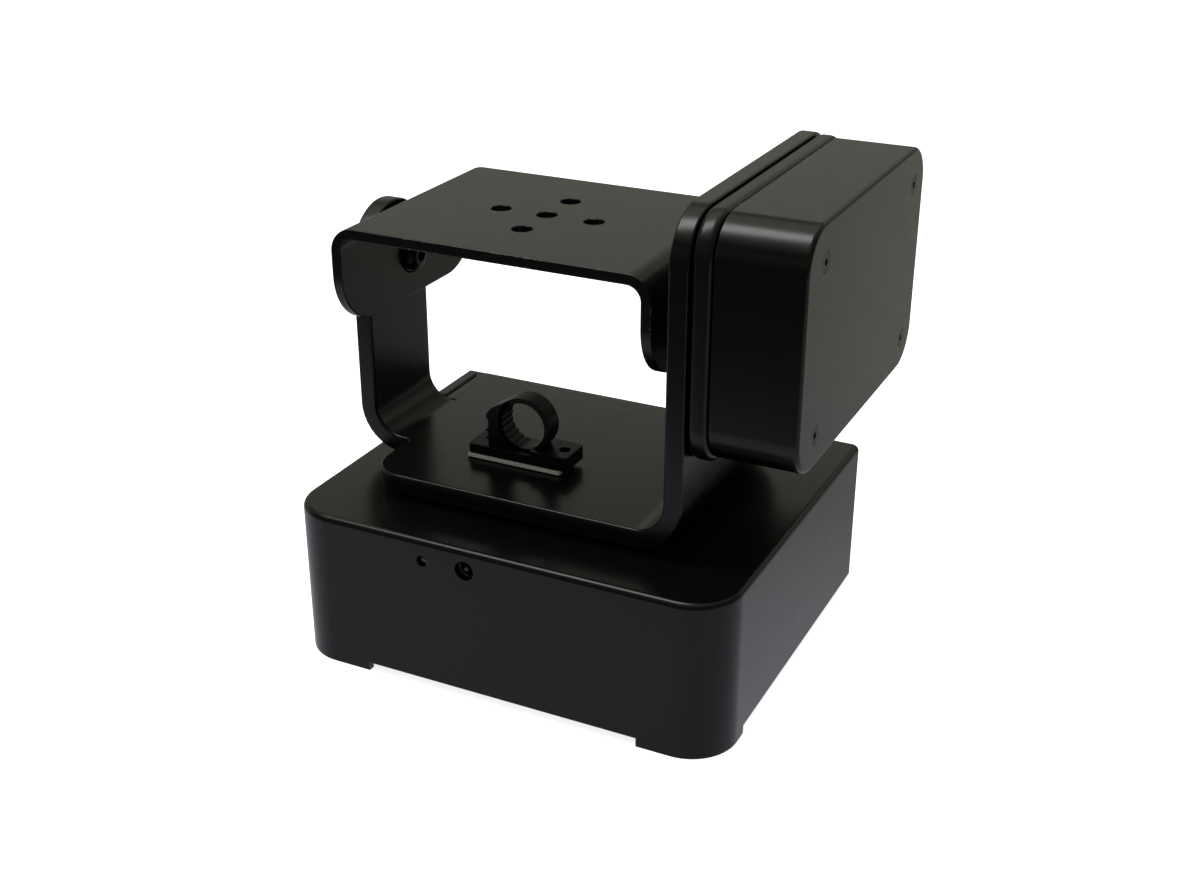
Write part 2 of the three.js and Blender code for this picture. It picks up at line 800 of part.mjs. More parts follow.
// Pan pinion with the end of the motor's shaft
function panPinion() {
  const centre = [panMotorX, PAN.y];
  const turn = FULL_TURN / 2 + FULL_TURN / (2 * PAN_PINION.teeth);
  return gear("z", centre, PAN_GEAR.bottom, panGearTop, PAN_PINION.teeth, turn)
    .add(rod("z", centre, PAN_GEAR.bottom, panGearTop + PAN_PINION.stubLength, PAN_PINION.stub));
}

// Pan motor with its spigot through the bracket and two flats
function panMotor() {
  const centre = [panMotorX, PAN.y];
  const low = bracketLow + PAN_BRACKET.sheet + SEAT;
  const high = low + PAN_MOTOR.length;
  const flats = box(
    [panMotorX - PAN_MOTOR.flat / 2, PAN.y - PAN_MOTOR.diameter, low],
    [panMotorX + PAN_MOTOR.flat / 2, PAN.y + PAN_MOTOR.diameter, high],
  );
  const spigot = rod(
    "z", centre, low - PAN_MOTOR.spigotHeight, low + PAN_MOTOR.spigotHeight, PAN_MOTOR.spigot,
  );
  const bore = rod("z", centre, 0, panGearTop + PAN_PINION.stubLength + SEAT, PAN_PINION.stub + 2 * RUNNING);
  const terminals = [-1, 1].map((side) => {
    const x = panMotorX + side * PAN_MOTOR.spigot / 2;
    return box(
      [x - PAN_MOTOR.terminal / 2, PAN.y - PAN_MOTOR.terminal / 4, high - PAN_MOTOR.terminal],
      [x + PAN_MOTOR.terminal / 2, PAN.y + PAN_MOTOR.terminal / 4, high + PAN_MOTOR.terminal / 2],
    );
  });
  const can = rod("z", centre, low, high, PAN_MOTOR.diameter).intersect(flats);
  return terminals.reduce((motor, terminal) => motor.add(terminal), can.add(spigot)).subtract(bore);
}

// Motor bracket: a strip bent into a hat, hung from the top of the housing
function panBracket() {
  const { sheet, bendOuter, bendInner, flange } = PAN_BRACKET;
  const top = PAN_BRACKET.top;
  const outline = rounded([
    [-bracketHalf, bracketLow, bendOuter],
    [bracketHalf, bracketLow, bendOuter],
    [bracketHalf, top - sheet, bendInner],
    [bracketHalf + flange, top - sheet, 0],
    [bracketHalf + flange, top, 0],
    [bracketHalf - sheet, top, bendOuter],
    [bracketHalf - sheet, bracketLow + sheet, bendInner],
    [-bracketHalf + sheet, bracketLow + sheet, bendInner],
    [-bracketHalf + sheet, top, bendOuter],
    [-bracketHalf - flange, top, 0],
    [-bracketHalf - flange, top - sheet, 0],
    [-bracketHalf, top - sheet, bendInner],
  ]);
  const half = PAN_BRACKET.width / 2;
  let bracket = prism("x", outline, panMotorX - half, panMotorX + half).translate([0, PAN.y, 0]);
  bracket = bracket.subtract(rod("z", [panMotorX, PAN.y], 0, BASE.height / 2, PAN_MOTOR.spigot + 2 * SEAT));
  bracketPlaces.forEach((centre) => {
    bracket = bracket.subtract(rod(
      "z", centre, top - sheet - OVERRUN, BASE.height, M3.shank + 2 * SEAT, FACETS.small,
    ));
  });
  return bracket;
}

// Pan head screw pointing along an axis, with its head on the near side of a face
function panHeadScrew(axis, centre, face, tip, head, headHeight) {
  const way = Math.sign(tip - face);
  const seat = face - way * SEAT;
  const crown = seat - way * headHeight;
  const socketEnd = crown + way * M3.socketDepth;
  const socketStart = crown - way * OVERRUN;
  return rod(axis, centre, Math.min(seat, crown), Math.max(seat, crown), head, FACETS.small)
    .add(rod(axis, centre, Math.min(seat, tip), Math.max(seat, tip), M3.shank, FACETS.small))
    .subtract(hexagon(
      axis, centre, Math.min(socketStart, socketEnd), Math.max(socketStart, socketEnd), M3.socket,
    ));
}

// Control board with a plug socket, a chip and two cans on its face
function controlBoard() {
  const left = boardLeft;
  const right = left + BOARD.width;
  const low = BOARD.bottom;
  const high = low + BOARD.height;
  const face = boardFace - BOARD.thickness;
  const middle = (low + high) / 2;
  const third = BOARD.width / 3;
  const chipLeft = left + third;
  const plugLeft = right - third;
  let board = box([left, face, low], [right, boardFace, high])
    .add(box(
      [chipLeft, face - BOARD_PART.chipDepth, middle],
      [chipLeft + BOARD_PART.chipWidth, boardFace - BOARD.thickness / 2, middle + BOARD_PART.chipHeight],
    ))
    .add(box(
      [plugLeft, face - BOARD_PART.plugDepth, low + BOARD_PART.chipDepth],
      [plugLeft + BOARD_PART.plugWidth, boardFace - BOARD.thickness / 2, middle - BOARD_PART.chipDepth],
    ));
  [chipLeft, chipLeft + BOARD_PART.chipWidth].forEach((x) => {
    const centre = [low + BOARD_PART.canDiameter, x];
    board = board.add(rod(
      "y",
      centre,
      face - BOARD_PART.canLength,
      boardFace - BOARD.thickness / 2,
      BOARD_PART.canDiameter,
      FACETS.small,
    ));
  });
  boardPlaces.forEach((centre) => {
    board = board.subtract(rod(
      "y", centre, face - OVERRUN, boardFace + OVERRUN, M3.shank + 2 * SEAT, FACETS.small,
    ));
  });
  return board;
}

// Outline of the tall arm, in Y and Z
function rightArmOutline() {
  const low = plateUnder - OVERRUN;
  return rounded([
    [yokeFront, low, 0],
    [yokeBack, low, 0],
    [yokeBack, YOKE.wideBottom, YOKE.waistCorner],
    [YOKE.rightBack, YOKE.wideBottom, YOKE.wideCorner],
    [YOKE.rightBack, YOKE.rightTop, YOKE.backTopCorner],
    [yokeFront, YOKE.rightTop, YOKE.frontTopCorner],
  ]);
}

// Outline of the short arm, in Y and Z: straight sides and a round top about the tilt axis
function leftArmOutline() {
  const half = LEFT_ARM.width / 2;
  const low = plateUnder - OVERRUN;
  const high = TILT.z + half;
  return rounded([
    [TILT.y - half, low, 0],
    [TILT.y + half, low, 0],
    [TILT.y + half, high, half - WELD],
    [TILT.y - half, high, half - WELD],
  ]);
}

// Plan of the plate between the arms, in X and Y, with the slotted tab and the bend's relief notches
function plateOutline() {
  const right = armInner - yokeBendInner;
  const half = LEFT_ARM.width / 2;
  const bendStart = YOKE.leftFace + YOKE.bendOuter;
  return rounded([
    [right, yokeFront, 0],
    [right, yokeBack, 0],
    [TAB.stepX, yokeBack, 0],
    [TAB.stepX, TAB.back, 0],
    [TAB.left, TAB.back, TAB.corner],
    [TAB.left, TAB.front, TAB.corner],
    [TAB.slotX - TAB.slotWidth / 2, TAB.front, 0],
    [TAB.slotX - TAB.slotWidth / 2, TAB.slotEnd, 0],
    [TAB.slotX + TAB.slotWidth / 2, TAB.slotEnd, 0],
    [TAB.slotX + TAB.slotWidth / 2, TILT.y + half - WELD, 0],
    [bendStart, TILT.y + half - WELD, 0],
    [bendStart, TILT.y - half, 0],
    [YOKE.plateLeft + YOKE.notchDepth, TILT.y - half, YOKE.notch / 2 - WELD],
    [YOKE.plateLeft + YOKE.notchDepth, TILT.y - half - YOKE.notch, YOKE.notch / 2 - WELD],
    [YOKE.plateLeft, TILT.y - half - YOKE.notch, 0],
    [YOKE.plateLeft, yokeFront, YOKE.plateCorner],
  ].reverse());
}

// Places where the drive's back plate is screwed to the arm, in Y and Z
const mountScrewPlaces = [
  [DRIVE.front + MOUNT_SCREW.inset, TILT.z - MOUNT_SCREW.rise],
  [DRIVE.front + MOUNT_SCREW.inset, TILT.z + MOUNT_SCREW.rise],
  [yokeBack - MOUNT_SCREW.inset, DRIVE.bottom + MOUNT_SCREW.inset],
  [yokeBack - MOUNT_SCREW.inset, DRIVE.top - MOUNT_SCREW.inset],
];

// Yoke: the bent profile cut to the outlines of its plate and arms
function yoke() {
  const top = YOKE.rightTop + OVERRUN;
  const profile = rounded([
    [YOKE.leftFace, plateUnder, YOKE.bendOuter],
    [YOKE.rightFace, plateUnder, YOKE.bendOuter],
    [YOKE.rightFace, top, 0],
    [armInner, top, 0],
    [armInner, YOKE.plateTop, yokeBendInner],
    [leftArmInner, YOKE.plateTop, yokeBendInner],
    [leftArmInner, top, 0],
    [YOKE.leftFace, top, 0],
  ], FACETS.bend).map((point) => new THREE.Vector2(point.y, point.x)).reverse();
  const bent = prism("y", profile, yokeFront - OVERRUN, YOKE.rightBack + OVERRUN);
  const tabSide = YOKE.leftFace + YOKE.bendOuter;
  const flat = prism("z", plateOutline(), plateUnder, YOKE.plateTop);
  const rightPart = prism("x", rightArmOutline(), armInner - yokeBendInner, YOKE.rightFace + OVERRUN);
  const leftPart = prism("x", leftArmOutline(), YOKE.leftFace - OVERRUN, tabSide + WELD);
  let made = flat.add(bent.intersect(rightPart)).add(bent.intersect(leftPart));
  hubScrewPlaces.forEach((centre) => {
    made = made.subtract(rod(
      "z", centre, plateUnder - OVERRUN, YOKE.plateTop - PAN.lip, M3.shank + 2 * SEAT, FACETS.small,
    ));
  });
  mountScrewPlaces.forEach((centre) => {
    made = made.subtract(countersunkHole("x", centre, armInner, YOKE.rightFace + OVERRUN, M4));
  });
  return made
    .subtract(rod("x", tiltAxis, armInner - OVERRUN, YOKE.rightFace + OVERRUN, SHAFT.bushDiameter + 2 * SEAT))
    .subtract(rod("x", tiltAxis, YOKE.leftFace - OVERRUN, leftArmInner + OVERRUN, PIVOT.bolt + 2 * SEAT));
}

// Back plate of the tilt drive
function drivePlate() {
  const radii = [DRIVE.corner, DRIVE.corner, DRIVE.corner, DRIVE.corner];
  const low = [DRIVE.front, DRIVE.bottom];
  const high = [DRIVE.back, DRIVE.top];
  let plate = edgedBlock("x", low, high, radii, drivePlateInner, drivePlateOuter, DRIVE.edge, DRIVE.edge)
    .subtract(rod(
      "x", tiltAxis, drivePlateInner - OVERRUN, drivePlateOuter + OVERRUN, SHAFT.bushDiameter + 2 * SEAT,
    ));
  coverScrewPlaces().concat(motorLegPlaces()).forEach((centre) => {
    plate = plate.subtract(rod(
      "x", centre, drivePlateInner - OVERRUN, drivePlateOuter + OVERRUN, M3.shank + 2 * SEAT, FACETS.small,
    ));
  });
  mountScrewPlaces.forEach((centre) => {
    const tip = drivePlateInner + MOUNT_SCREW.depth + SEAT;
    plate = plate.subtract(rod(
      "x", centre, drivePlateInner - OVERRUN, tip, M4.shank + 2 * SEAT, FACETS.small,
    ));
  });
  return plate;
}

// Places of the cover's screws, in Y and Z
function coverScrewPlaces() {
  return [COVER.screwFront, COVER.screwBack].flatMap(
    (y) => [COVER.screwLow, COVER.screwHigh].map((z) => [y, z]),
  );
}

// Places of the tilt motor's legs, in Y and Z
function motorLegPlaces() {
  return [TILT_MOTOR.legLow, TILT_MOTOR.legHigh].map((z) => [TILT_MOTOR.legY, z]);
}

// Cover of the tilt drive: a rounded tray with a screw boss near each corner
function driveCover() {
  const radii = [COVER.corner, COVER.corner, COVER.corner, COVER.corner];
  const innerRadii = radii.map((radius) => radius - COVER.wall);
  const outer = edgedBlock(
    "x", [COVER.front, COVER.bottom], [COVER.back, COVER.top], radii, coverInner, COVER.outer, COVER.edge,
  );
  const hollow = prism(
    "x",
    rounded(rectangle(
      [COVER.front + COVER.wall, COVER.bottom + COVER.wall],
      [COVER.back - COVER.wall, COVER.top - COVER.wall],
      innerRadii,
    )),
    coverInner - OVERRUN,
    COVER.outer - COVER.face,
  );
  let cover = outer.subtract(hollow);
  coverScrewPlaces().forEach((centre) => {
    cover = cover.add(rod(
      "x", centre, coverInner, COVER.outer - COVER.face / 2, COVER.bossDiameter, FACETS.small,
    ));
  });
  coverScrewPlaces().forEach((centre) => {
    cover = cover.subtract(countersunkHole("x", centre, COVER.outer, coverInner - OVERRUN, M3));
  });
  return cover;
}

// Bush in the arm and the back plate
function tiltBush() {
  return rod("x", tiltAxis, armInner + SEAT, drivePlateOuter, SHAFT.bushDiameter)
    .subtract(rod(
      "x", tiltAxis, armInner - OVERRUN, drivePlateOuter + OVERRUN, SHAFT.diameter + 2 * RUNNING,
    ));
}

// Tilt shaft with its flange against the platform
function tiltShaft() {
  const face = PLATFORM.right + SEAT;
  const flangeEnd = face + SHAFT.flange;
  const inside = PLATFORM.right - PLATFORM.sheet;
  let shaft = rod("x", tiltAxis, face, flangeEnd, SHAFT.flangeDiameter)
    .add(rod("x", tiltAxis, flangeEnd - SHAFT.flange / 2, armInner - SEAT, SHAFT.collarDiameter))
    .add(rod("x", tiltAxis, inside + SEAT, SHAFT.end, SHAFT.diameter));
  tiltFlangePlaces().forEach((centre) => {
    shaft = shaft.subtract(rod(
      "x", centre, face - OVERRUN, flangeEnd + OVERRUN, M3.shank + 2 * SEAT, FACETS.small,
    ));
  });
  return shaft;
}

// Places of the screws between the platform and the tilt shaft's flange, in Y and Z
function tiltFlangePlaces() {
  return around(tiltAxis, SHAFT.screwCircle, 4, FULL_TURN / 8);
}

// Tilt gear with its hub against the bush
function tiltGear() {
  const rim = GEAR.module * TILT_GEAR.teeth - 2 * TILT_GEAR.webInset;
  const hubDiameter = TILT_GEAR.hubDiameter;
  const web = rod("x", tiltAxis, tiltGearInner + TILT_GEAR.web, tiltGearOuter + OVERRUN, rim, FACETS.large)
    .subtract(rod("x", tiltAxis, 0, COVER.outer, hubDiameter, FACETS.round));
  return gear("x", tiltAxis, tiltGearInner, tiltGearOuter, TILT_GEAR.teeth, TILT_PINION.angle)
    .subtract(web)
    .add(rod("x", tiltAxis, drivePlateOuter + SEAT, tiltGearInner + TILT_GEAR.web, hubDiameter))
    .subtract(rod("x", tiltAxis, 0, COVER.outer, SHAFT.diameter + 2 * SEAT));
}

// Nut on the end of the tilt shaft
function tiltNut() {
  const low = tiltGearOuter + SEAT;
  return hexagon("x", tiltAxis, low, low + SHAFT.nutHeight, SHAFT.nutAcross)
    .subtract(rod("x", tiltAxis, low - OVERRUN, SHAFT.end + OVERRUN, SHAFT.diameter + 2 * SEAT));
}

// Tilt pinion with the end of the gearmotor's shaft
function tiltPinion() {
  const centre = [pinionY, pinionZ];
  const turn = TILT_PINION.angle + FULL_TURN / 2 + FULL_TURN / (2 * TILT_PINION.teeth);
  return gear("x", centre, tiltGearInner, tiltGearOuter, TILT_PINION.teeth, turn)
    .add(rod("x", centre, tiltGearInner, tiltGearOuter + TILT_PINION.stubLength, TILT_PINION.stub));
}

// Tilt gearmotor: a gearbox on two legs, with the motor can standing on it
function tiltGearmotor() {
  const { boxFront, boxBack, boxBottom, boxTop, boxCorner } = TILT_MOTOR;
  const radii = [boxCorner, boxCorner, boxCorner, boxCorner];
  const outline = rounded(rectangle([boxFront, boxBottom], [boxBack, boxTop], radii));
  const canX = motorBoxOuter + M3.headHeight - TILT_MOTOR.canDiameter / 2;
  let motor = prism("x", outline, motorBoxInner, motorBoxOuter)
    .add(rod("z", [canX, TILT_MOTOR.canY], boxTop - boxCorner, TILT_MOTOR.canTop, TILT_MOTOR.canDiameter));
  motorLegPlaces().forEach((centre) => {
    motor = motor.add(rod(
      "x", centre, drivePlateOuter + SEAT, motorBoxInner + boxCorner, TILT_MOTOR.legDiameter, FACETS.small,
    ));
  });
  motorLegPlaces().forEach((centre) => {
    motor = motor.subtract(rod(
      "x", centre, drivePlateOuter - OVERRUN, motorBoxOuter + OVERRUN, M3.shank + 2 * SEAT, FACETS.small,
    ));
  });
  const bore = rod(
    "x",
    [pinionY, pinionZ],
    motorBoxInner - OVERRUN,
    tiltGearOuter + TILT_PINION.stubLength + SEAT,
    TILT_PINION.stub + 2 * RUNNING,
  );
  return motor.subtract(bore);
}

// Camera platform: the bent profile cut to the outline of its flanges, with its holes
function platform() {
  const { left, right, top, bottom, sheet, bendOuter } = PLATFORM;
  const half = PLATFORM.depth / 2;
  const inner = bendOuter - sheet;
  const profile = rounded([
    [left, bottom, 0],
    [left + sheet, bottom, 0],
    [left + sheet, top - sheet, inner],
    [right - sheet, top - sheet, inner],
    [right - sheet, bottom, 0],
    [right, bottom, 0],
    [right, top, bendOuter],
    [left, top, bendOuter],
  ], FACETS.bend).map((point) => new THREE.Vector2(point.y, point.x)).reverse();
  const outline = rounded([
    [-half, bottom, PLATFORM.cornerRadius],
    [half, bottom, PLATFORM.cornerRadius],
    [half, top + OVERRUN, 0],
    [-half, top + OVERRUN, 0],
  ]);
  const radii = [PLATFORM.topCorner, PLATFORM.topCorner, PLATFORM.topCorner, PLATFORM.topCorner];
  const plan = rounded(rectangle([left, -half], [right, half], radii));
  let made = prism("y", profile, -half - OVERRUN, half + OVERRUN)
    .intersect(prism("x", outline, left - OVERRUN, right + OVERRUN))
    .intersect(prism("z", plan, bottom - OVERRUN, top + OVERRUN));
  platformHoles().forEach((centre) => {
    made = made.subtract(rod("z", centre, top - sheet - OVERRUN, top + OVERRUN, PLATFORM.holeDiameter));
  });
  tiltFlangePlaces().forEach((centre) => {
    made = made.subtract(rod(
      "x", centre, right - sheet - OVERRUN, right + OVERRUN, M3.shank + 2 * SEAT, FACETS.small,
    ));
  });
  return made
    .subtract(rod("x", tiltAxis, right - sheet - OVERRUN, right + OVERRUN, SHAFT.spigotDiameter + 2 * SEAT))
    .subtract(rod("x", tiltAxis, left - OVERRUN, left + sheet + OVERRUN, PIVOT.bush + 2 * SEAT));
}

// Five camera screw holes: one in the middle and one on each side of it
function platformHoles() {
  const centre = [PLATFORM.holeX, 0];
  return [centre].concat(around(centre, 2 * PLATFORM.holeSpacing, 4));
}

// Bush of the left pivot, with its flange between the platform and the arm
function pivotBush() {
  const flangeLow = leftArmInner + SEAT;
  const flangeHigh = PLATFORM.left - SEAT;
  return rod("x", tiltAxis, flangeLow, flangeHigh, PIVOT.bushFlange)
    .add(rod("x", tiltAxis, flangeLow, PLATFORM.left + PLATFORM.sheet, PIVOT.bush))
    .subtract(rod(
      "x",
      tiltAxis,
      flangeLow - OVERRUN,
      PLATFORM.left + PLATFORM.sheet + OVERRUN,
      PIVOT.bolt + 2 * RUNNING,
    ));
}

// Pivot bolt, its domed head towards the middle of the yoke
function pivotBolt() {
  const headLow = PLATFORM.left + PLATFORM.sheet + SEAT;
  const headHigh = headLow + PIVOT.headHeight;
  const dome = (headLow + PIVOT.headRim + headHigh) / 2;
  return rod("x", tiltAxis, headLow, headLow + PIVOT.headRim, PIVOT.head)
    .add(rod(
      "x",
      tiltAxis,
      headLow + PIVOT.headRim,
      dome,
      PIVOT.head,
      FACETS.round,
      PIVOT.head - PIVOT.headRim * 2,
    ))
    .add(rod("x", tiltAxis, dome, headHigh, PIVOT.head - PIVOT.headRim * 2, FACETS.round, PIVOT.crown))
    .add(rod("x", tiltAxis, YOKE.leftFace + PIVOT.boltSetBack, headLow + PIVOT.headRim, PIVOT.bolt))
    .subtract(hexagon("x", tiltAxis, headHigh - PIVOT.socketDepth, headHigh + OVERRUN, PIVOT.socket));
}

// Place of the hole through the cable clip and its foam pad, in X and Y
const clipHoleCentre = [CLIP.holeX, (CLIP.front + CLIP.back) / 2];

// Foam pad under the cable clip
function foamPad() {
  const radii = [FOAM.corner, FOAM.corner, FOAM.corner, FOAM.corner];
  const low = YOKE.plateTop + SEAT;
  const outline = rounded(rectangle([FOAM.left, FOAM.front], [FOAM.right, FOAM.back], radii));
  return prism("z", outline, low, low + FOAM.thickness)
    .subtract(rod("z", clipHoleCentre, low - OVERRUN, low + OVERRUN, CLIP.holeDiameter));
}

const clipLow = YOKE.plateTop + FOAM.thickness + 2 * SEAT;
const clipHigh = clipLow + CLIP.thickness;

// Outline of the clip's post, in Z and X: up its left side, over the latch and down to the ring
function clipPostOutline() {
  const { loopX, loopZ, loopRadius, latchLeft, shoulderX, shoulderZ } = CLIP;
  const toShoulder = new THREE.Vector2(shoulderX - loopX, shoulderZ - loopZ);
  const tangent = toShoulder.angle() - Math.acos(loopRadius / toShoulder.length());
  const touch = [loopZ + loopRadius * Math.sin(tangent), loopX + loopRadius * Math.cos(tangent)];
  const foot = clipHigh - CLIP.thickness / 2;
  return [
    [foot, CLIP.postLeft],
    [CLIP.latchLow, CLIP.postLeft],
    [CLIP.latchLow, latchLeft],
    [CLIP.latchHigh, latchLeft],
    [shoulderZ, shoulderX],
    touch,
    [loopZ, loopX],
    [foot, loopX],
  ].map(([z, x]) => new THREE.Vector2(z, x));
}

// Cable clip: a base with a boss, and a post with ratchet teeth that a strap bent into a ring latches on
function cableClip() {
  const { inset, corner, ribbon } = CLIP;
  const low = [FOAM.left + inset, FOAM.front + inset];
  const high = [FOAM.right - inset, FOAM.back - inset];
  const bossHigh = clipHigh + CLIP.bossRise;
  const loop = [CLIP.loopZ, CLIP.loopX];
  let clip = prism("y", clipPostOutline().reverse(), CLIP.front, CLIP.back)
    .add(rod("y", loop, CLIP.front, CLIP.back, 2 * CLIP.loopRadius, FACETS.large))
    .subtract(rod(
      "y", loop, CLIP.front - OVERRUN, CLIP.back + OVERRUN, 2 * (CLIP.loopRadius - ribbon), FACETS.large,
    ));
  for (let tooth = 0; tooth < CLIP.toothCount; tooth += 1) {
    const z = CLIP.toothStart + CLIP.toothPitch * tooth;
    const outline = [
      new THREE.Vector2(z, CLIP.postLeft - CLIP.toothHeight),
      new THREE.Vector2(z + CLIP.toothThickness, CLIP.postLeft + CLIP.toothHeight),
      new THREE.Vector2(z, CLIP.postLeft + CLIP.toothHeight),
    ];
    clip = clip.add(prism("y", outline, CLIP.front, CLIP.back));
  }
  const bossLow = [CLIP.bossLeft, low[1]];
  return clip
    .add(prism("z", rounded(rectangle(low, high, [corner, corner, corner, corner])), clipLow, clipHigh))
    .add(prism(
      "z", rounded(rectangle(bossLow, high, [corner, corner, corner, corner])), clipLow + inset, bossHigh,
    ))
    .subtract(rod("z", clipHoleCentre, clipLow - OVERRUN, bossHigh + OVERRUN, CLIP.holeDiameter));
}

// Base
place("base_housing", baseHousing(), "coat");
place("bottom_plate", bottomPlate(), "coatDark");
postPlaces.forEach((centre, index) => {
  const tip = bottomPlateTop + POST.diameter;
  place(`bottom_screw_${index + 1}`, countersunk("z", centre, BASE.skirt, tip, M3), "blackSteel");
});
place("rear_foot_left", rearFoot(-1), "rubber");
place("rear_foot_right", rearFoot(1), "rubber");
place("power_inlet", powerInlet(), "plastic");
place("inlet_pin", inletPin(), "zinc");
place("indicator_lens", indicatorLens(), "lens");
place("pan_bearing", panBearing(), "steel");
place("pan_motor", panMotor(), "zinc");
place("pan_motor_bracket", panBracket(), "zinc");
bracketPlaces.forEach((centre, index) => {
  const face = PAN_BRACKET.top - PAN_BRACKET.sheet;
  const screw = panHeadScrew(
    "z", centre, face, cavityTop - 2 * SEAT, TILT_MOTOR.screwHead, TILT_MOTOR.screwHeadHeight,
  );
  place(`bracket_screw_${index + 1}`, screw, "zinc");
});
place("control_board", controlBoard(), "board");
boardPlaces.forEach((centre, index) => {
  const face = boardFace - BOARD.thickness;
  const screw = panHeadScrew(
    "y", centre, face, innerHalfDepth - SEAT, TILT_MOTOR.screwHead, TILT_MOTOR.screwHeadHeight,
  );
  place(`board_screw_${index + 1}`, screw, "zinc");
});
place("pan_pinion", panPinion(), "bronze");

// Panning yoke
place("yoke", yoke(), "coat");
place("pan_shaft", panShaft(), "steel");
place("pan_sleeve", panSleeve(), "steel");
place("pan_gear", panGear(), "bronze");
place("pan_nut", panNut(), "steel");
hubScrewPlaces.forEach((centre, index) => {
  const face = plateUnder - SEAT - PAN.flange;
  place(`hub_screw_${index + 1}`, countersunk(
    "z", centre, face, YOKE.plateTop - PAN.lip - SEAT, M3,
  ), "blackSteel");
});
place("foam_pad", foamPad(), "foam");
place("cable_clip", cableClip(), "nylon");
place("drive_plate", drivePlate(), "coatDark");
mountScrewPlaces.forEach((centre, index) => {
  place(`drive_mount_screw_${index + 1}`, countersunk(
    "x", centre, armInner, drivePlateInner + MOUNT_SCREW.depth, M4,
  ), "blackSteel");
});
place("drive_cover", driveCover(), "coat");
coverScrewPlaces().forEach((centre, index) => {
  place(`cover_screw_${index + 1}`, countersunk(
    "x", centre, COVER.outer, drivePlateInner + SEAT, M3,
  ), "blackSteel");
});
place("tilt_bush", tiltBush(), "bronze");
place("tilt_gearmotor", tiltGearmotor(), "zinc");
motorLegPlaces().forEach((centre, index) => {
  const tip = drivePlateOuter - TILT_MOTOR.screwReach;
  const screw = panHeadScrew(
    "x", centre, motorBoxOuter, tip, TILT_MOTOR.screwHead, TILT_MOTOR.screwHeadHeight,
  );
  place(`gearmotor_screw_${index + 1}`, screw, "zinc");
});
place("pivot_bolt", pivotBolt(), "blackSteel");
place("tilt_pinion", tiltPinion(), "bronze");

// Tilting platform
place("camera_platform", platform(), "coat");
place("pivot_bush", pivotBush(), "nylon");
place("tilt_shaft", tiltShaft(), "steel");
tiltFlangePlaces().forEach((centre, index) => {
  const face = PLATFORM.right - PLATFORM.sheet;
  const tip = PLATFORM.right + SEAT + SHAFT.flange;
  const screw = panHeadScrew("x", centre, face, tip, TILT_MOTOR.screwHead, TILT_MOTOR.screwHeadHeight);
  place(`shaft_screw_${index + 1}`, screw, "blackSteel");
});
place("tilt_gear", tiltGear(), "bronze");
place("tilt_nut", tiltNut(), "steel");

// The part's own origin is at the middle of the space that it fills, on the table
const lowX = Math.min(-BASE.width / 2, YOKE.leftFace);
const highX = Math.max(BASE.width / 2, COVER.outer);
const lowY = Math.min(-BASE.depth / 2, yokeFront);
const highY = Math.max(BASE.depth / 2, YOKE.rightBack);
part.position.set(-(lowX + highX) / 2, -(lowY + highY) / 2, 0);

const remotePanTiltHead = new THREE.Group();
remotePanTiltHead.add(part);

export default remotePanTiltHead;
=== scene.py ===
"""Remote pan tilt head: the dressed model of a motorised camera head, built around its fixed frame.

A coated metal base turns a bent yoke about an upright axis. The yoke's two arms hold a tilting camera
platform, and the tilt drive sits in a rounded box outside the tall arm.
"""
import logging
import math
from collections.abc import Sequence
from dataclasses import dataclass
from enum import Enum

import bmesh
import bpy
from mathutils import Matrix, Vector
from mathutils.geometry import tessellate_polygon


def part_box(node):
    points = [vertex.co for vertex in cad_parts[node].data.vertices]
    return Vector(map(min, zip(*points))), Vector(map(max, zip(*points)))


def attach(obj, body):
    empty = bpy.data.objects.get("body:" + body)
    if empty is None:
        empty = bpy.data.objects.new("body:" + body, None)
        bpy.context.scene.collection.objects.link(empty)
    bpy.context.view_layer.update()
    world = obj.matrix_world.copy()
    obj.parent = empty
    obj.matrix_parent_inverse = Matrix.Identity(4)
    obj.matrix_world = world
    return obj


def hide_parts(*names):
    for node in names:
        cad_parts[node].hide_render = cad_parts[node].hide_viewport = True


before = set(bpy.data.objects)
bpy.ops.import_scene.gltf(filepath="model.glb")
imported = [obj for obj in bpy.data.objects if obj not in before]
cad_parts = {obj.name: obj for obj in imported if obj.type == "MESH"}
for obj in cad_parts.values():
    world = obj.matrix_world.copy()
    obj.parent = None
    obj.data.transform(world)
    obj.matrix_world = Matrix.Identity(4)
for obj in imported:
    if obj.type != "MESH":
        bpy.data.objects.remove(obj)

Pair = tuple[float, float]
Triple = tuple[float, float, float]
Numbers = Sequence[float]
Profile = Sequence[Pair]
Loop = list[Vector]
Mesh = bmesh.types.BMesh
Object = bpy.types.Object
Node = bpy.types.Node
Tree = bpy.types.NodeTree

LOG = logging.getLogger("remote_pan_tilt_head")
MM = 0.001  # metres in a millimetre: shapes are drawn in millimetres
CORNER_STEPS = 14  # steps in a rounded corner of an outline
EDGE_STEPS = 3  # steps in the small rounding along a cut edge
ROUND_SIDES = 72  # sides of a turned piece
FEW_SIDES = 36  # sides of a screw, a bore or a round hole
OVERRUN = 3.0  # how far a cutter runs past the face that it opens
FINE = 0.02  # rounding along the edges of a cutter
LEAST_RADIUS = 0.05  # least radius of a rectangle's corner
WELD = 0.0005  # points closer than this are one point after a cut
SMOOTH_ANGLE = math.radians(32)  # faces that meet at less than this are shaded as one surface
SEED = 7  # seed of the turns that the screws get by chance
QUARTER = math.pi / 2
FULL_TURN = 2 * math.pi
OVER_CORNERS = 1 / math.cos(math.pi / 6)  # a hexagon's width over its corners for one over its flats

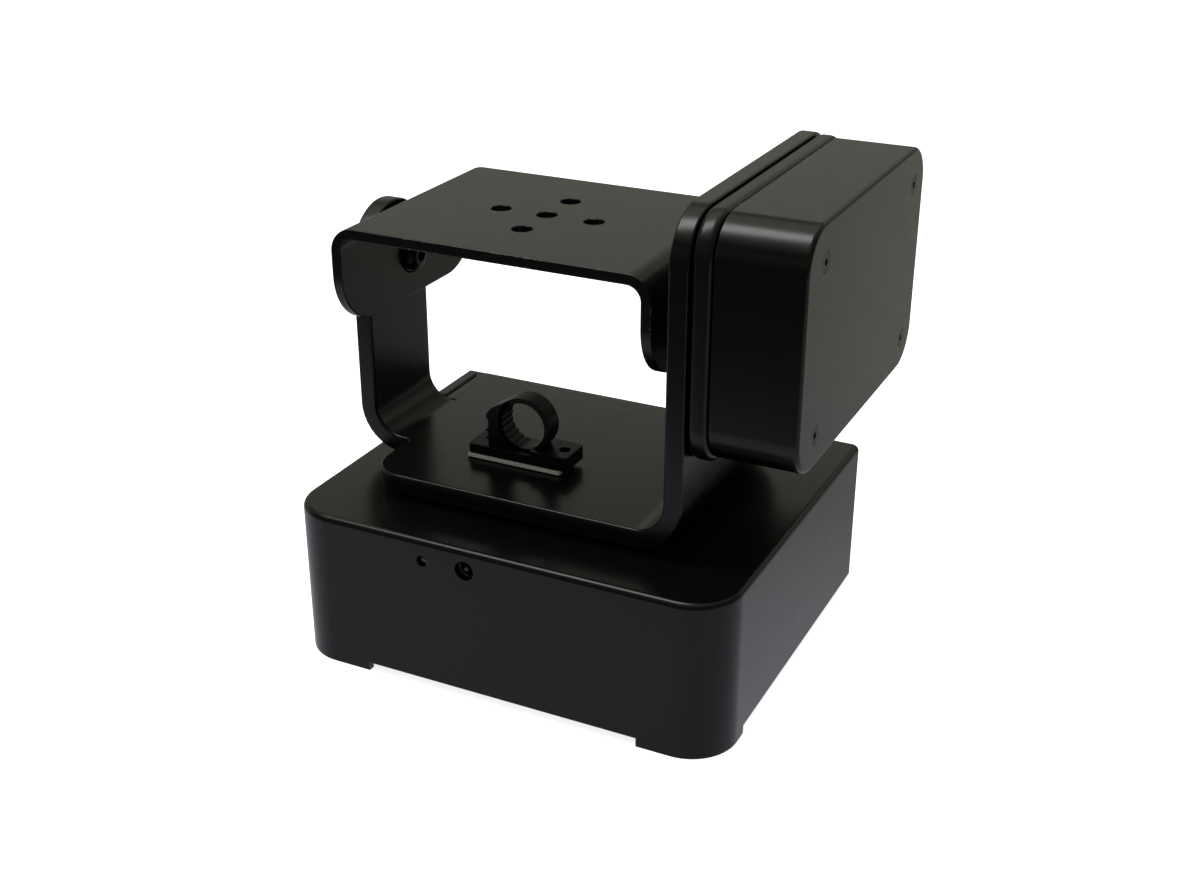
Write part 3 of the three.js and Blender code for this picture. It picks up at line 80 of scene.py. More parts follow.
# Types of node, and a Map Range node's inputs in order
NOISE, RANGE, MATH = "ShaderNodeTexNoise", "ShaderNodeMapRange", "ShaderNodeMath"
MIX, BUMP = "ShaderNodeMix", "ShaderNodeBump"
LIMITS = ("Value", "From Min", "From Max", "To Min", "To Max")

# Places that several pieces share, in millimetres from the middle of the base
HALF_WIDTH, HALF_DEPTH = 75.0, 63.5
PAN_X, TILT_Z = -12.0, 120.0
TILT_AXIS = (0.0, TILT_Z)
HUB_CIRCLE = 40.0
INLET, LENS_PLACE = (-9.4, 46.0), (-24.3, 45.8)
POSTS = [(x * 62.5, y * 51.0) for x in (-1, 1) for y in (-1, 1)]


class Axis(Enum):
    """Direction in which a flat outline is raised into a solid."""

    X = "x"
    Y = "y"
    Z = "z"

    def place(self, across: float, up: float, along: float) -> Vector:
        """Return the point at a place in the outline's plane and a station along the axis."""
        orders = {"x": (along, across, up), "y": (across, along, up), "z": (across, up, along)}
        return Vector(orders[self.value])


class Body(Enum):
    """Rigid bodies of the frame, by name."""

    BASE = "base"
    YOKE = "pan_yoke"
    PLATFORM = "tilt_platform"


class Cells(Enum):
    """Shape of the cells of a cell pattern."""

    ROUND = "EUCLIDEAN"
    SQUARE = "CHEBYCHEV"


# Colour and node helpers


def linear(code: str) -> tuple[float, float, float, float]:
    """Turn an sRGB hex colour into linear light.

    Args:
        code: Six hex digits after a number sign.

    Returns:
        Red, green, blue and an alpha of one.
    """
    shares = [int(code[start : start + 2], 16) / 255 for start in (1, 3, 5)]
    lights = [share / 12.92 if share <= 0.04045 else ((share + 0.055) / 1.055) ** 2.4 for share in shares]
    return (*lights, 1.0)


def add(tree: Tree, kind: str, settings: dict, inputs: dict) -> Node:
    """Add a node with its settings and links.

    Args:
        tree: Node tree that gets the node.
        kind: Blender's name of the node's type.
        settings: Attribute names and values of the node.
        inputs: Socket names or numbers, each with a constant, the socket that feeds it, or a node
            whose first usable output feeds it.

    Returns:
        The new node.
    """
    node = tree.nodes.new(kind)
    for name, value in settings.items():
        setattr(node, name, value)
    for key, value in inputs.items():
        named = [socket for socket in node.inputs if socket.enabled and socket.name == key]
        target = node.inputs[key] if isinstance(key, int) else named[0]
        if isinstance(value, Node):
            value = next(socket for socket in value.outputs if socket.enabled)
        if isinstance(value, bpy.types.NodeSocket):
            tree.links.new(value, target)
        else:
            target.default_value = value
    return node


def emptied(owner: bpy.types.Material | bpy.types.World) -> Tree:
    """Return the node tree of a material or a world with all its nodes taken out."""
    owner.use_nodes = True
    owner.node_tree.nodes.clear()
    return owner.node_tree


def per_mm(size: float) -> float:
    """Return the texture scale at which one feature is as wide as a size in millimetres."""
    return 1.0 / (size * MM)


# Finishes


@dataclass(frozen=True)
class Finish:
    """Surface finish with its record slot; each kind of finish draws its own nodes."""

    name: str
    slot: str
    colour: str
    roughness: float

    def shade(self, tree: Tree, point: bpy.types.NodeSocket) -> dict:
        """Return the shader's inputs, some of them fed by nodes that this adds to the tree."""
        raise NotImplementedError

    def mixed(self, tree: Tree, share: Node, over: str, height: Node, depth: float) -> dict:
        """Mix the finish's colour with another one over a bumpy surface.

        Args:
            tree: Node tree of the material.
            share: Share of the other colour.
            over: The other colour.
            height: Height of the bumps.
            depth: Their depth in millimetres.

        Returns:
            The shader's colour and normal.
        """
        colours = {"Factor": share, "A": linear(self.colour), "B": linear(over)}
        colour = add(tree, MIX, {"data_type": "RGBA"}, colours)
        bump = add(tree, BUMP, {}, {"Height": height, "Distance": depth * MM})
        return {"Base Color": colour, "Normal": bump}

    def material(self) -> bpy.types.Material:
        """Return the finish's material, made on first use."""
        made = bpy.data.materials.get(self.name)
        if made is not None:
            return made
        made = bpy.data.materials.new(self.name)
        tree = emptied(made)
        point = add(tree, "ShaderNodeTexCoord", {}, {}).outputs["Object"]
        shader = add(tree, "ShaderNodeBsdfPrincipled", {}, self.shade(tree, point))
        add(tree, "ShaderNodeOutputMaterial", {}, {"Surface": shader})
        return made


@dataclass(frozen=True)
class PowderCoat(Finish):
    """Satin black powder coat on steel: baked polyester powder.

    It gives the eye a deep black that turns grey at a low angle, a fine orange peel, a little pale dust
    on what faces up, faint wiping marks, a duller and lighter line where the coat is rubbed on edges, and a
    few pale flecks where an edge was knocked and the coat is chipped to the metal.
    """

    dust: str = "#6a675b"
    worn: str = "#3c3c3a"
    bare: str = "#a9a69c"
    refraction: float = 1.28
    cloud: float = 24.0
    wipe: float = 6.0
    peel: float = 1.3
    peel_depth: float = 0.004
    grit: float = 0.3
    grit_depth: float = 0.002
    details: tuple[float, ...] = (4.0, 4.0, 2.0, 1.0)
    edge: float = 0.5
    samples: int = 4
    level: Pair = (0.7, 1.0)
    dust_share: float = 0.006
    patches: Triple = (0.35, 0.7, 0.3)
    bend: Pair = (0.985, 0.9)
    rub: Pair = (0.46, 0.66)
    wear_share: float = 0.3
    knock: Pair = (0.53, 0.59)
    flake: Pair = (0.55, 0.59)
    wiping: Pair = (0.3, 0.7)
    gloss_spread: float = 0.015
    dulling: float = 0.6

    def shade(self, tree: Tree, point: bpy.types.NodeSocket) -> dict:
        """Return the coat's inputs.

        Args:
            tree: Node tree of the material.
            point: Place on the piece.

        Returns:
            Inputs of the shader by name.
        """
        sizes = (self.cloud, self.wipe, self.peel, self.grit)
        cloud, wipe, peel, grit = [
            add(tree, NOISE, {}, {"Vector": point, "Scale": per_mm(size), "Detail": detail})
            for size, detail in zip(sizes, self.details)
        ]
        normal = add(tree, "ShaderNodeNewGeometry", {}, {}).outputs["Normal"]
        facing = add(tree, "ShaderNodeSeparateXYZ", {}, {"Vector": normal}).outputs["Z"]
        soft = add(tree, "ShaderNodeBevel", {"samples": self.samples}, {"Radius": self.edge * MM})
        agree = add(tree, "ShaderNodeVectorMath", {"operation": "DOT_PRODUCT"}, {0: soft, 1: normal})
        least, most = self.roughness - self.gloss_spread, self.roughness + self.gloss_spread
        lying, patch, bent, rubbed, knocked, flaked, gloss = [
            add(tree, RANGE, {}, dict(zip(LIMITS, row)))
            for row in (
                (facing, *self.level, 0.0, self.dust_share),
                (cloud, *self.patches),
                (agree.outputs["Value"], *self.bend),
                (wipe, *self.rub, 0.0, self.wear_share),
                (cloud, *self.knock),
                (peel, *self.flake),
                (wipe, *self.wiping, least, most),
            )
        ]
        dust, worn, chip = [
            add(tree, MATH, {"operation": "MULTIPLY"}, {0: first, 1: second})
            for first, second in ((lying, patch), (bent, rubbed), (knocked, flaked))
        ]
        chip = add(tree, MATH, {"operation": "MULTIPLY"}, {0: chip, 1: bent})
        colour = linear(self.colour)
        for share, over in ((dust, self.dust), (worn, self.worn), (chip, self.bare)):
            colours = {"Factor": share, "A": colour, "B": linear(over)}
            colour = add(tree, MIX, {"data_type": "RGBA"}, colours)
        dull = add(tree, MATH, {"operation": "MULTIPLY_ADD"}, {0: dust, 1: self.dulling, 2: gloss})
        coarse = add(tree, BUMP, {}, {"Height": peel, "Distance": self.peel_depth * MM})
        fine = {"Height": grit, "Distance": self.grit_depth * MM, "Normal": coarse}
        fine = add(tree, BUMP, {}, fine)
        return {"Base Color": colour, "Roughness": dull, "IOR": self.refraction, "Normal": fine}


@dataclass(frozen=True)
class Moulded(Finish):
    """Moulded plastic or rubber with a fine spark-eroded grain.

    It gives the eye an even, soft sheen broken by a fine grain and faint flow clouds.
    """

    second: str = "#1c1c1d"
    grain: float = 0.3
    depth: float = 0.006
    refraction: float = 1.46
    metallic: float = 0.0
    stretch: float = 1.0
    cloud_share: float = 16.0
    cloud_detail: float = 3.0
    fine_detail: float = 3.0
    patch_share: float = 5.0
    clouding: Triple = (0.35, 0.75, 0.7)
    patching: Pair = (0.3, 0.7)
    smoother: float = 0.04
    duller: float = 0.07

    def shade(self, tree: Tree, point: bpy.types.NodeSocket) -> dict:
        """Return the surface's inputs.

        Args:
            tree: Node tree of the material.
            point: Place on the piece.

        Returns:
            Inputs of the shader by name.
        """
        drawn = add(tree, "ShaderNodeMapping", {}, {"Vector": point, "Scale": (1.0, 1.0, self.stretch)})
        cloud, patch, grain = [
            add(tree, NOISE, {}, {"Vector": place, "Scale": per_mm(self.grain * share), "Detail": detail})
            for place, share, detail in (
                (point, self.cloud_share, self.cloud_detail),
                (drawn, self.patch_share, self.fine_detail),
                (drawn, self.stretch, self.fine_detail),
            )
        ]
        start, end, most = self.clouding
        least, dullest = self.roughness - self.smoother, self.roughness + self.duller
        clouded, gloss = [
            add(tree, RANGE, {}, dict(zip(LIMITS, row)))
            for row in ((cloud, start, end, 0.0, most), (patch, *self.patching, least, dullest))
        ]
        inputs = self.mixed(tree, clouded, self.second, grain, self.depth)
        return inputs | {"Roughness": gloss, "Metallic": self.metallic, "IOR": self.refraction}


@dataclass(frozen=True)
class Metal(Moulded):
    """Bare or plated metal with turning or rolling marks along one direction.

    It gives the eye bright mirrored patches drawn out by fine parallel marks, with a little dull variation.
    """

    second: str = "#6f6f70"
    grain: float = 0.35
    depth: float = 0.004
    refraction: float = 1.5
    metallic: float = 1.0
    stretch: float = 14.0
    cloud_share: float = 20.0
    cloud_detail: float = 2.0
    patch_share: float = 14.0
    clouding: Triple = (0.35, 0.8, 0.5)
    smoother: float = 0.06
    duller: float = 0.08


@dataclass(frozen=True)
class Celled(Finish):
    """Stuff with a pattern of cells: its colour is in their middles and a second one is between them."""

    second: str
    cell: float
    depth: float
    border: Pair
    shape: Cells = Cells.ROUND

    def shade(self, tree: Tree, point: bpy.types.NodeSocket) -> dict:
        """Return the stuff's inputs.

        Args:
            tree: Node tree of the material.
            point: Place on the piece.

        Returns:
            Inputs of the shader by name.
        """
        cells = {"Vector": point, "Scale": per_mm(self.cell)}
        cells = add(tree, "ShaderNodeTexVoronoi", {"distance": self.shape.value}, cells)
        between = add(tree, RANGE, {}, dict(zip(LIMITS, (cells, *self.border))))
        inputs = self.mixed(tree, between, self.second, between, self.depth)
        return inputs | {"Roughness": self.roughness}


# The big pieces' coat: deep black, mirrored softly
COAT = PowderCoat("satin_black_powder_coat", "satin_coat", "#040404", 0.26)
# The drive plate's coat: a shade warmer and duller
DARK_COAT = PowderCoat("satin_black_plate_coat", "dark_coat", "#080607", 0.3)
# Screws: dark grey metal with a brownish cast
OXIDE = Metal("black_oxide_steel", "black_screw", "#1b1b1c", 0.38, "#2b2a29")
# Shafts: bright metal with lathe marks
STEEL = Metal("turned_steel", "turned_steel", "#8c8d8f", 0.28)
# Gears and bushes: yellow metal, browner in places
BRONZE = Metal("machined_bronze", "gear_bronze", "#a87b3f", 0.3, "#7c5a2e")
# Motors and brackets: pale bluish plating
ZINC = Metal("zinc_plated_steel", "zinc", "#9b9d9c", 0.36, "#7f8284")
# Inlet pin: nickel plate given a dark grey colour, a dull grey point in the dark inlet
NICKEL = Metal("darkened_nickel_plate", "zinc", "#4a4b4d", 0.5, "#343536")
# Cable clip and pivot bush: a black with little mirroring
NYLON = Moulded("moulded_black_nylon", "black_nylon", "#040404", 0.36, "#070707", refraction=1.2)
# Feet: matt black with a coarse grain
RUBBER = Moulded("moulded_black_rubber", "rubber_feet", "#131313", 0.8, grain=0.5, depth=0.02)
# Inlet's barrel: smooth black
PLASTIC = Moulded("black_inlet_plastic", "black_plastic", "#0b0b0c", 0.3)
# Indicator: a dark glossy dot with a reddish cast
LENS = Moulded("smoked_indicator_lens", "black_plastic", "#16100f", 0.08, grain=0.6, depth=0.001)
# Closed cell foam cut with a blade: a chalky pale edge pitted by small open cells
FOAM = Celled("grey_foam_tape", "grey_foam", "#807d74", 0.95, "#9a978c", 0.35, 0.1, (0.0, 0.6))
# Epoxy glass under solder mask: a glossy green with paler copper tracks showing through
BOARD = Celled(
    "green_solder_mask", "circuit_board", "#1c4d2a", 0.3, "#3d6b3a", 2.4, 0.03, (0.36, 0.42), Cells.SQUARE
)


# Outlines


def rounded(corners: Sequence[Triple], steps: int = CORNER_STEPS) -> Loop:
    """Draw a closed outline with rounded corners.

    Args:
        corners: Each corner's place and radius; a radius of nought leaves it sharp.
        steps: Number of steps in each rounded corner.

    Returns:
        The outline's points in order.
    """
    points: Loop = []
    for index, (across, up, radius) in enumerate(corners):
        corner = Vector((across, up))
        if radius <= 0:
            points.append(corner)
            continue
        before, after = corners[index - 1], corners[(index + 1) % len(corners)]
        back = (Vector(before[:2]) - corner).normalized()
        ahead = (Vector(after[:2]) - corner).normalized()
        half = back.angle(ahead) / 2
        middle = corner + (back + ahead).normalized() * (radius / math.sin(half))
        start = corner + back * (radius / math.tan(half)) - middle
        end = corner + ahead * (radius / math.tan(half)) - middle
        sweep = math.atan2(start.x * end.y - start.y * end.x, start.dot(end))
        first = math.atan2(start.y, start.x)
        for step in range(steps + 1):
            angle = first + sweep * step / steps
            points.append(middle + Vector((math.cos(angle), math.sin(angle))) * radius)
    return points


def rectangle(low: Numbers, high: Numbers, radii: Numbers, inset: float = 0.0) -> Loop:
    """Draw a rectangle with rounded corners.

    Args:
        low: Lowest corner in the outline's plane.
        high: Highest corner in the outline's plane.
        radii: Radius of each corner, from the lowest corner all the way round.
        inset: Distance by which the whole outline is drawn in.

    Returns:
        The outline's points in order.
    """
    left, bottom, right, top = low[0] + inset, low[1] + inset, high[0] - inset, high[1] - inset
    places = [(left, bottom), (right, bottom), (right, top), (left, top)]
    return rounded([(*place, max(radius - inset, LEAST_RADIUS)) for place, radius in zip(places, radii)])


def circle(centre: Numbers, diameter: float, sides: int = FEW_SIDES) -> Loop:
    """Draw a circle as a loop of points, the first one to the right of its middle."""
    turns = [FULL_TURN * side / sides for side in range(sides)]
    return [Vector(centre) + Vector((math.cos(turn), math.sin(turn))) * diameter / 2 for turn in turns]


def area(loop: Loop) -> float:
    """Return the area inside a loop, positive where it runs anticlockwise."""
    return sum(here.x * there.y - there.x * here.y for here, there in zip(loop, loop[1:] + loop[:1])) / 2


def drawn_in(loop: Loop, distance: float) -> Loop:
    """Move each side of an anticlockwise loop inwards, or of a clockwise one outwards.

    Args:
        loop: Points of the outline.
        distance: How far its sides move to their left.

    Returns:
        The moved points.
    """
    least = 0.2
    moved: Loop = []
    for index, point in enumerate(loop):
        arriving = (point - loop[index - 1]).normalized()
        leaving = (loop[(index + 1) % len(loop)] - point).normalized()
        first, second = Vector((-arriving.y, arriving.x)), Vector((-leaving.y, leaving.x))
        moved.append(point + (first + second) * (distance / max(1 + first.dot(second), least)))
    return moved


# Meshes


def bridge(shape: Mesh, rows: Sequence[list[bmesh.types.BMVert]]) -> None:
    """Join each row of vertices to the next by faces; a row of one vertex makes a fan.

    Args:
        shape: Mesh that holds the vertices.
        rows: Vertices of each closed row.
    """
    for lower, upper in zip(rows, rows[1:]):
        sides = max(len(lower), len(upper))
        for side in range(sides):
            following = (side + 1) % sides
            corners = [lower[side % len(lower)], lower[following % len(lower)]]
            corners += [upper[following % len(upper)], upper[side % len(upper)]]
            distinct = list(dict.fromkeys(corners))
            if len(distinct) > 2:
                shape.faces.new(distinct)


def skin(rings: Sequence[Sequence[Vector]]) -> Mesh:
    """Join a stack of rings of equal length into one closed skin.

    Args:
        rings: Points of each ring; the first and the last are capped.

    Returns:
        The closed mesh, its faces pointing out.
    """
    shape = bmesh.new()
    rows = [[shape.verts.new(point) for point in ring] for ring in rings]
    bridge(shape, rows)
    shape.faces.new(rows[0][::-1])
    shape.faces.new(rows[-1])
    bmesh.ops.recalc_face_normals(shape, faces=shape.faces)
    return shape


def plate(axis: Axis, outer: Loop, holes: Sequence[Loop], low: float, high: float, edge: float) -> Mesh:
    """Make a flat plate with holes and finely rounded edges.

    Args:
        axis: Direction of its thickness.
        outer: Its outline, in any sense.
        holes: Outlines of its holes, in any sense.
        low: Station of its lower face.
        high: Station of its upper face.
        edge: Radius of the rounding along every edge.

    Returns:
        The closed mesh, its faces pointing out.
    """
    loops = [outer if area(outer) > 0 else outer[::-1]]
    loops += [hole if area(hole) < 0 else hole[::-1] for hole in holes]
    steps = [QUARTER * step / EDGE_STEPS for step in range(EDGE_STEPS + 1)]
    levels = [(edge * (1 - math.sin(turn)), low + edge * (1 - math.cos(turn))) for turn in steps]
    levels += [(inset, high + low - station) for inset, station in reversed(levels)]
    shape = bmesh.new()
    bottom: list[bmesh.types.BMVert] = []
    top: list[bmesh.types.BMVert] = []
    for loop in loops:
        rows = []
        for inset, station in levels:
            ring = drawn_in(loop, inset)
            rows.append([shape.verts.new(axis.place(point.x, point.y, station)) for point in ring])
        bridge(shape, rows)
        bottom += rows[0]
        top += rows[-1]
    flat = [[point.to_3d() for point in drawn_in(loop, edge)] for loop in loops]
    for first, second, third in tessellate_polygon(flat):
        shape.faces.new((bottom[third], bottom[second], bottom[first]))
        shape.faces.new((top[first], top[second], top[third]))
    bmesh.ops.recalc_face_normals(shape, faces=shape.faces)
    return shape


def turned(axis: Axis, centre: Numbers, profile: Profile, sides: int = ROUND_SIDES) -> Mesh:
    """Turn a profile about an axis, as on a lathe.

    Args:
        axis: Direction of the axis.
        centre: Place of the axis in the plane square to it.
        profile: Radius and station of each point; it starts and ends on the axis, or closes on itself.
        sides: Number of sides.

    Returns:
        The closed mesh, its faces pointing out.
    """
    shape = bmesh.new()
    rows: list[list[bmesh.types.BMVert]] = []
    for radius, station in profile:
        row = []
        for side in range(sides if radius > 0 else 1):
            turn = FULL_TURN * side / sides
            across, up = centre[0] + radius * math.cos(turn), centre[1] + radius * math.sin(turn)
            row.append(shape.verts.new(axis.place(across, up, station)))
        rows.append(row)
    closes = profile[0][0] > 0
    bridge(shape, rows + rows[:1] if closes else rows)
    bmesh.ops.recalc_face_normals(shape, faces=shape.faces)
    return shape


def softened(profile: Profile, radius: float) -> list[Pair]:
    """Round the corners of a lathe profile, apart from those on the axis."""
    corners = [(out, station, radius if out > 0 else 0.0) for out, station in profile]
    return [(point.x, point.y) for point in rounded(corners, EDGE_STEPS)]


def linked(name: str, data: bpy.types.ID) -> Object:
    """Return a new object of the scene that holds some data."""
    made = bpy.data.objects.new(name, data)
    bpy.context.scene.collection.objects.link(made)
    return made


def loose_object(shape: Mesh, name: str) -> Object:
    """Put a mesh into a scene object and use it up.

    Args:
        shape: Mesh to hold.
        name: Name of the object.

    Returns:
        The object, linked to the scene.
    """
    mesh = bpy.data.meshes.new(name)
    shape.to_mesh(mesh)
    shape.free()
    return linked(name, mesh)


def evaluated(piece: Object) -> bpy.types.Mesh:
    """Return a plain mesh of an object with its modifiers applied."""
    graph = bpy.context.evaluated_depsgraph_get()
    baked = piece.evaluated_get(graph)
    return bpy.data.meshes.new_from_object(baked, preserve_all_data_layers=True, depsgraph=graph)


def settle(piece: Object) -> None:
    """Bake an object's modifiers into its mesh and take them off."""
    made = evaluated(piece)
    piece.modifiers.clear()
    piece.data = made


def carved(shape: Mesh, cutters: Sequence[Mesh], join: bool = False) -> Mesh:
    """Cut solids out of a shape, or join them to it.

    Args:
        shape: Closed mesh to cut.
        cutters: Closed meshes that are taken away or joined.
        join: Whether they are joined.

    Returns:
        The cut mesh; the meshes given are used up.
    """
    body = loose_object(shape, "carving")
    tools = [loose_object(cutter, "cutter") for cutter in cutters]
    for tool in tools:
        step = body.modifiers.new("cut", "BOOLEAN")
        step.operation = "UNION" if join else "DIFFERENCE"
        step.solver = "EXACT"
        step.object = tool
    result = bmesh.new()
    result.from_mesh(evaluated(body))
    for extra in [body, *tools]:
        bpy.data.objects.remove(extra)
    bmesh.ops.remove_doubles(result, verts=result.verts, dist=WELD)
    return result


def bore(axis: Axis, centre: Numbers, low: float, high: float, diameter: float) -> Mesh:
    """Draw a round cutter between two stations along an axis."""
    out = diameter / 2
    return turned(axis, centre, [(0, low), (out, low), (out, high), (0, high)], FEW_SIDES)


def block(low: Triple, high: Triple) -> Mesh:
    """Draw a plain box cutter between two corners."""
    return plate(Axis.Z, rectangle(low, high, [LEAST_RADIUS] * 4), [], low[2], high[2], FINE)


def hexagon(axis: Axis, centre: Pair, flats: float, low: float, high: float) -> Mesh:
    """Draw the cutter of a hexagon socket between two stations along an axis."""
    return plate(axis, circle(centre, flats * OVER_CORNERS, 6), [], low, high, FINE)


@dataclass(frozen=True)
class Tray:
    """Rounded box open at the end that it starts from."""

    axis: Axis
    low: Pair
    high: Pair
    radii: tuple[float, ...]
    start: float
    end: float
    wall: float
    floor: float
    edge: float
    steps: int
    rim: Profile

    def ring(self, inset: float, station: float) -> Loop:
        """Return the box's outline, drawn in, at a station."""
        outline = rectangle(self.low, self.high, self.radii, inset)
        return [self.axis.place(point.x, point.y, station) for point in outline]

    def build(self) -> Mesh:
        """Return the hollow box with a rounded edge round its closed end and a finer one round its rim."""
        rings = [self.ring(inset, self.start + rise) for inset, rise in self.rim]
        for step in range(self.steps + 1):
            turn = QUARTER * step / self.steps
            inset, rise = self.edge * (1 - math.cos(turn)), self.edge * (1 - math.sin(turn))
            rings.append(self.ring(inset, self.end - rise))
        stations = (self.start - OVERRUN, self.end - self.floor)
        return carved(skin(rings), [skin([self.ring(self.wall, station) for station in stations])])


# Pieces in the frame


def origin() -> Vector:
    """Return the middle of the base at the level of the table, in the frame's millimetres."""
    low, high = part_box("base_housing")
    middle = (low / MM + high / MM) / 2
    return Vector((middle.x, middle.y, 0.0))


def piece_of(name: str, shape: Mesh, finish: Finish, at: Vector | None = None) -> Object:
    """Make a finished piece from a shape drawn in millimetres from the middle of the base.

    Args:
        name: Name of the piece.
        shape: Its closed mesh, which is used up.
        finish: Its finish.
        at: Where the drawing's zero point goes, if not to the middle of the base.

    Returns:
        The piece, its object at the frame's zero point, shaded smooth across its small roundings.
    """
    shape.transform(Matrix.Scale(MM, 4) @ Matrix.Translation(origin() if at is None else at))
    made = loose_object(shape, name)
    made.data.name = name
    made.data.materials.append(finish.material())
    made.data.shade_smooth()
    made.data.set_sharp_from_angle(angle=SMOOTH_ANGLE)
    weighting = made.modifiers.new("weighted", "WEIGHTED_NORMAL")
    weighting.keep_sharp = True
    settle(made)
    return made


def fit(piece: Object, body: Body, nodes: Sequence[str]) -> None:
    """Let a piece ride on its body and stand for the frame's nodes.

    Args:
        piece: Finished piece.
        body: Body that carries it.
        nodes: Names of the nodes that it replaces.
    """
    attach(piece, body.value)
    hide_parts(*nodes)
    LOG.info("%s rides on %s and stands for %s", piece.name, body.value, ", ".join(nodes))


def put(name: str, shape: Mesh, finish: Finish, body: Body, node: str) -> None:
    """Make a finished piece from a shape and let it stand for one node on a body."""
    fit(piece_of(name, shape, finish), body, [node])


def numbered(stem: str, count: int) -> tuple[str, ...]:
    """Return the names of several nodes that differ by the number at their end."""
    return tuple(f"{stem}_{number}" for number in range(1, count + 1))


def repeater() -> Tree:
    """Build the tree that sets one template at each point of a mesh, turned about its own axis.

    Returns:
        The node tree, with named inputs for the template, its aim, the spread of its turn and its finish.
    """
    made = bpy.data.node_groups.get("repeat_template")
    if made is not None:
        return made
    made = bpy.data.node_groups.new("repeat_template", "GeometryNodeTree")
    kinds = {"Places": "Geometry", "Template": "Object", "Aim": "Vector"}
    kinds |= {"Turn spread": "Float", "Finish": "Material"}
    for name, kind in kinds.items():
        made.interface.new_socket(name, in_out="INPUT", socket_type="NodeSocket" + kind)
    made.interface.new_socket("Pieces", in_out="OUTPUT", socket_type="NodeSocketGeometry")
    given = add(made, "NodeGroupInput", {}, {}).outputs
    template = add(made, "GeometryNodeObjectInfo", {}, {"Object": given["Template"]})
    chance = {"Max": given["Turn spread"], "Seed": SEED}
    chance = add(made, "FunctionNodeRandomValue", {"data_type": "FLOAT"}, chance)
    spin = add(made, "ShaderNodeCombineXYZ", {}, {"Z": chance})
    turn = add(made, "FunctionNodeEulerToRotation", {}, {"Euler": spin})
    aim = add(made, "FunctionNodeEulerToRotation", {}, {"Euler": given["Aim"]})
    both = add(made, "FunctionNodeRotateRotation", {"rotation_space": "LOCAL"}, {0: aim, 1: turn})
    spread = {"Points": given["Places"], "Instance": template.outputs["Geometry"], "Rotation": both}
    spread = add(made, "GeometryNodeInstanceOnPoints", {}, spread)
    real = add(made, "GeometryNodeRealizeInstances", {}, {"Geometry": spread})
    dressed = add(made, "GeometryNodeSetMaterial", {}, {"Geometry": real, "Material": given["Finish"]})
    add(made, "NodeGroupOutput", {}, {"Pieces": dressed})
    return made


def put_screws(name: str, screw: Mesh, places: Sequence[Vector], aim: Triple, body: Body, stem: str) -> None:
    """Set a screw at several places, each turned by chance about its own axis, as one piece.

    Args:
        name: Name of the piece that holds all of them.
        screw: Mesh drawn in millimetres about the origin, its axis along Z.
        places: Where they go, in millimetres from the middle of the base.
        aim: Euler angles that point the screw's axis the right way.
        body: Body that carries them.
        stem: Name of the nodes that they stand for, before the number.
    """
    pattern = piece_of(name + "_template", screw, OXIDE, Vector())
    carrier = bmesh.new()
    for place in places:
        carrier.verts.new((place + origin()) * MM)
    made = loose_object(carrier, name)
    step = made.modifiers.new("repeat", "NODES")
    step.node_group = repeater()
    values = {"Template": pattern, "Aim": aim, "Turn spread": FULL_TURN, "Finish": OXIDE.material()}
    for item in step.node_group.interface.items_tree:
        if item.in_out == "INPUT" and item.name in values:
            step[item.identifier] = values[item.name]
    settle(made)
    made.data.name = name
    bpy.data.objects.remove(pattern)
    fit(made, body, numbered(stem, len(places)))


# Screws


@dataclass(frozen=True)
class ScrewSize:
    """Sizes of a machine screw in millimetres."""

    shank: float
    head: float
    head_height: float
    socket: float
    socket_depth: float
    edge: float = 0.12
    rim: float = 0.25

    def turned(self, profile: Profile, top: float) -> Mesh:
        """Turn a screw and cut its socket, down from the top of its head."""
        socket = hexagon(Axis.Z, (0, 0), self.socket, top - self.socket_depth, top + OVERRUN)
        return carved(turned(Axis.Z, (0, 0), profile, FEW_SIDES), [socket])

    def countersunk(self, length: float) -> Mesh:
        """Draw a countersunk screw that points down from its flat head.

        Args:
            length: Overall length.

        Returns:
            The screw, its head's face at the origin.
        """
        out, neck, edge = self.head / 2, self.shank / 2, self.edge
        profile = [(0, 0), (out - edge, 0), (out, -edge), (out, -self.rim), (neck, -self.head_height)]
        profile += [(neck, edge - length), (neck - edge, -length), (0, -length)]
        return self.turned(profile, 0.0)

    def button(self, length: float) -> Mesh:
        """Draw a round-headed screw that points down, its head's underside at the origin.

        Args:
            length: Length under the head.

        Returns:
            The screw.
        """
        out, neck, top = self.head / 2, self.shank / 2, self.head_height
        turns = (1.35, 1.05, 0.7, 0.35, 0.0)
        dome = [(out * math.cos(turn), top * math.sin(turn)) for turn in turns]
        return self.turned([(0, top), *dome, (neck, 0), (neck, -length), (0, -length)], top)

    def hole(self, axis: Axis, centre: Numbers, face: float, way: int, depth: float) -> Mesh:
        """Draw the cutter of a countersunk hole.

        Args:
            axis: Direction of the hole.
            centre: Its place in the plane square to the axis.
            face: Station of the face that it opens.
            way: Plus one where it runs towards higher stations, or minus one.
            depth: How deep the hole goes.

        Returns:
            The cutter.
        """
        slack, sunk = 0.06, 0.3
        wide, narrow = self.head / 2 + slack, self.shank / 2 + slack
        profile = [(0, -OVERRUN), (wide, -OVERRUN), (wide, sunk)]
        profile += [(narrow, self.head_height + sunk), (narrow, depth), (0, depth)]
        return turned(axis, centre, [(out, face + way * down) for out, down in profile], FEW_SIDES)


M3 = ScrewSize(shank=3.0, head=6.2, head_height=1.7, socket=2.0, socket_depth=1.1)
M3_BUTTON = ScrewSize(shank=3.0, head=5.5, head_height=2.0, socket=2.0, socket_depth=1.1)
M4 = ScrewSize(shank=4.0, head=7.4, head_height=2.2, socket=2.5, socket_depth=1.4)
CLEAR = 3.6  # hole that an M3 screw passes

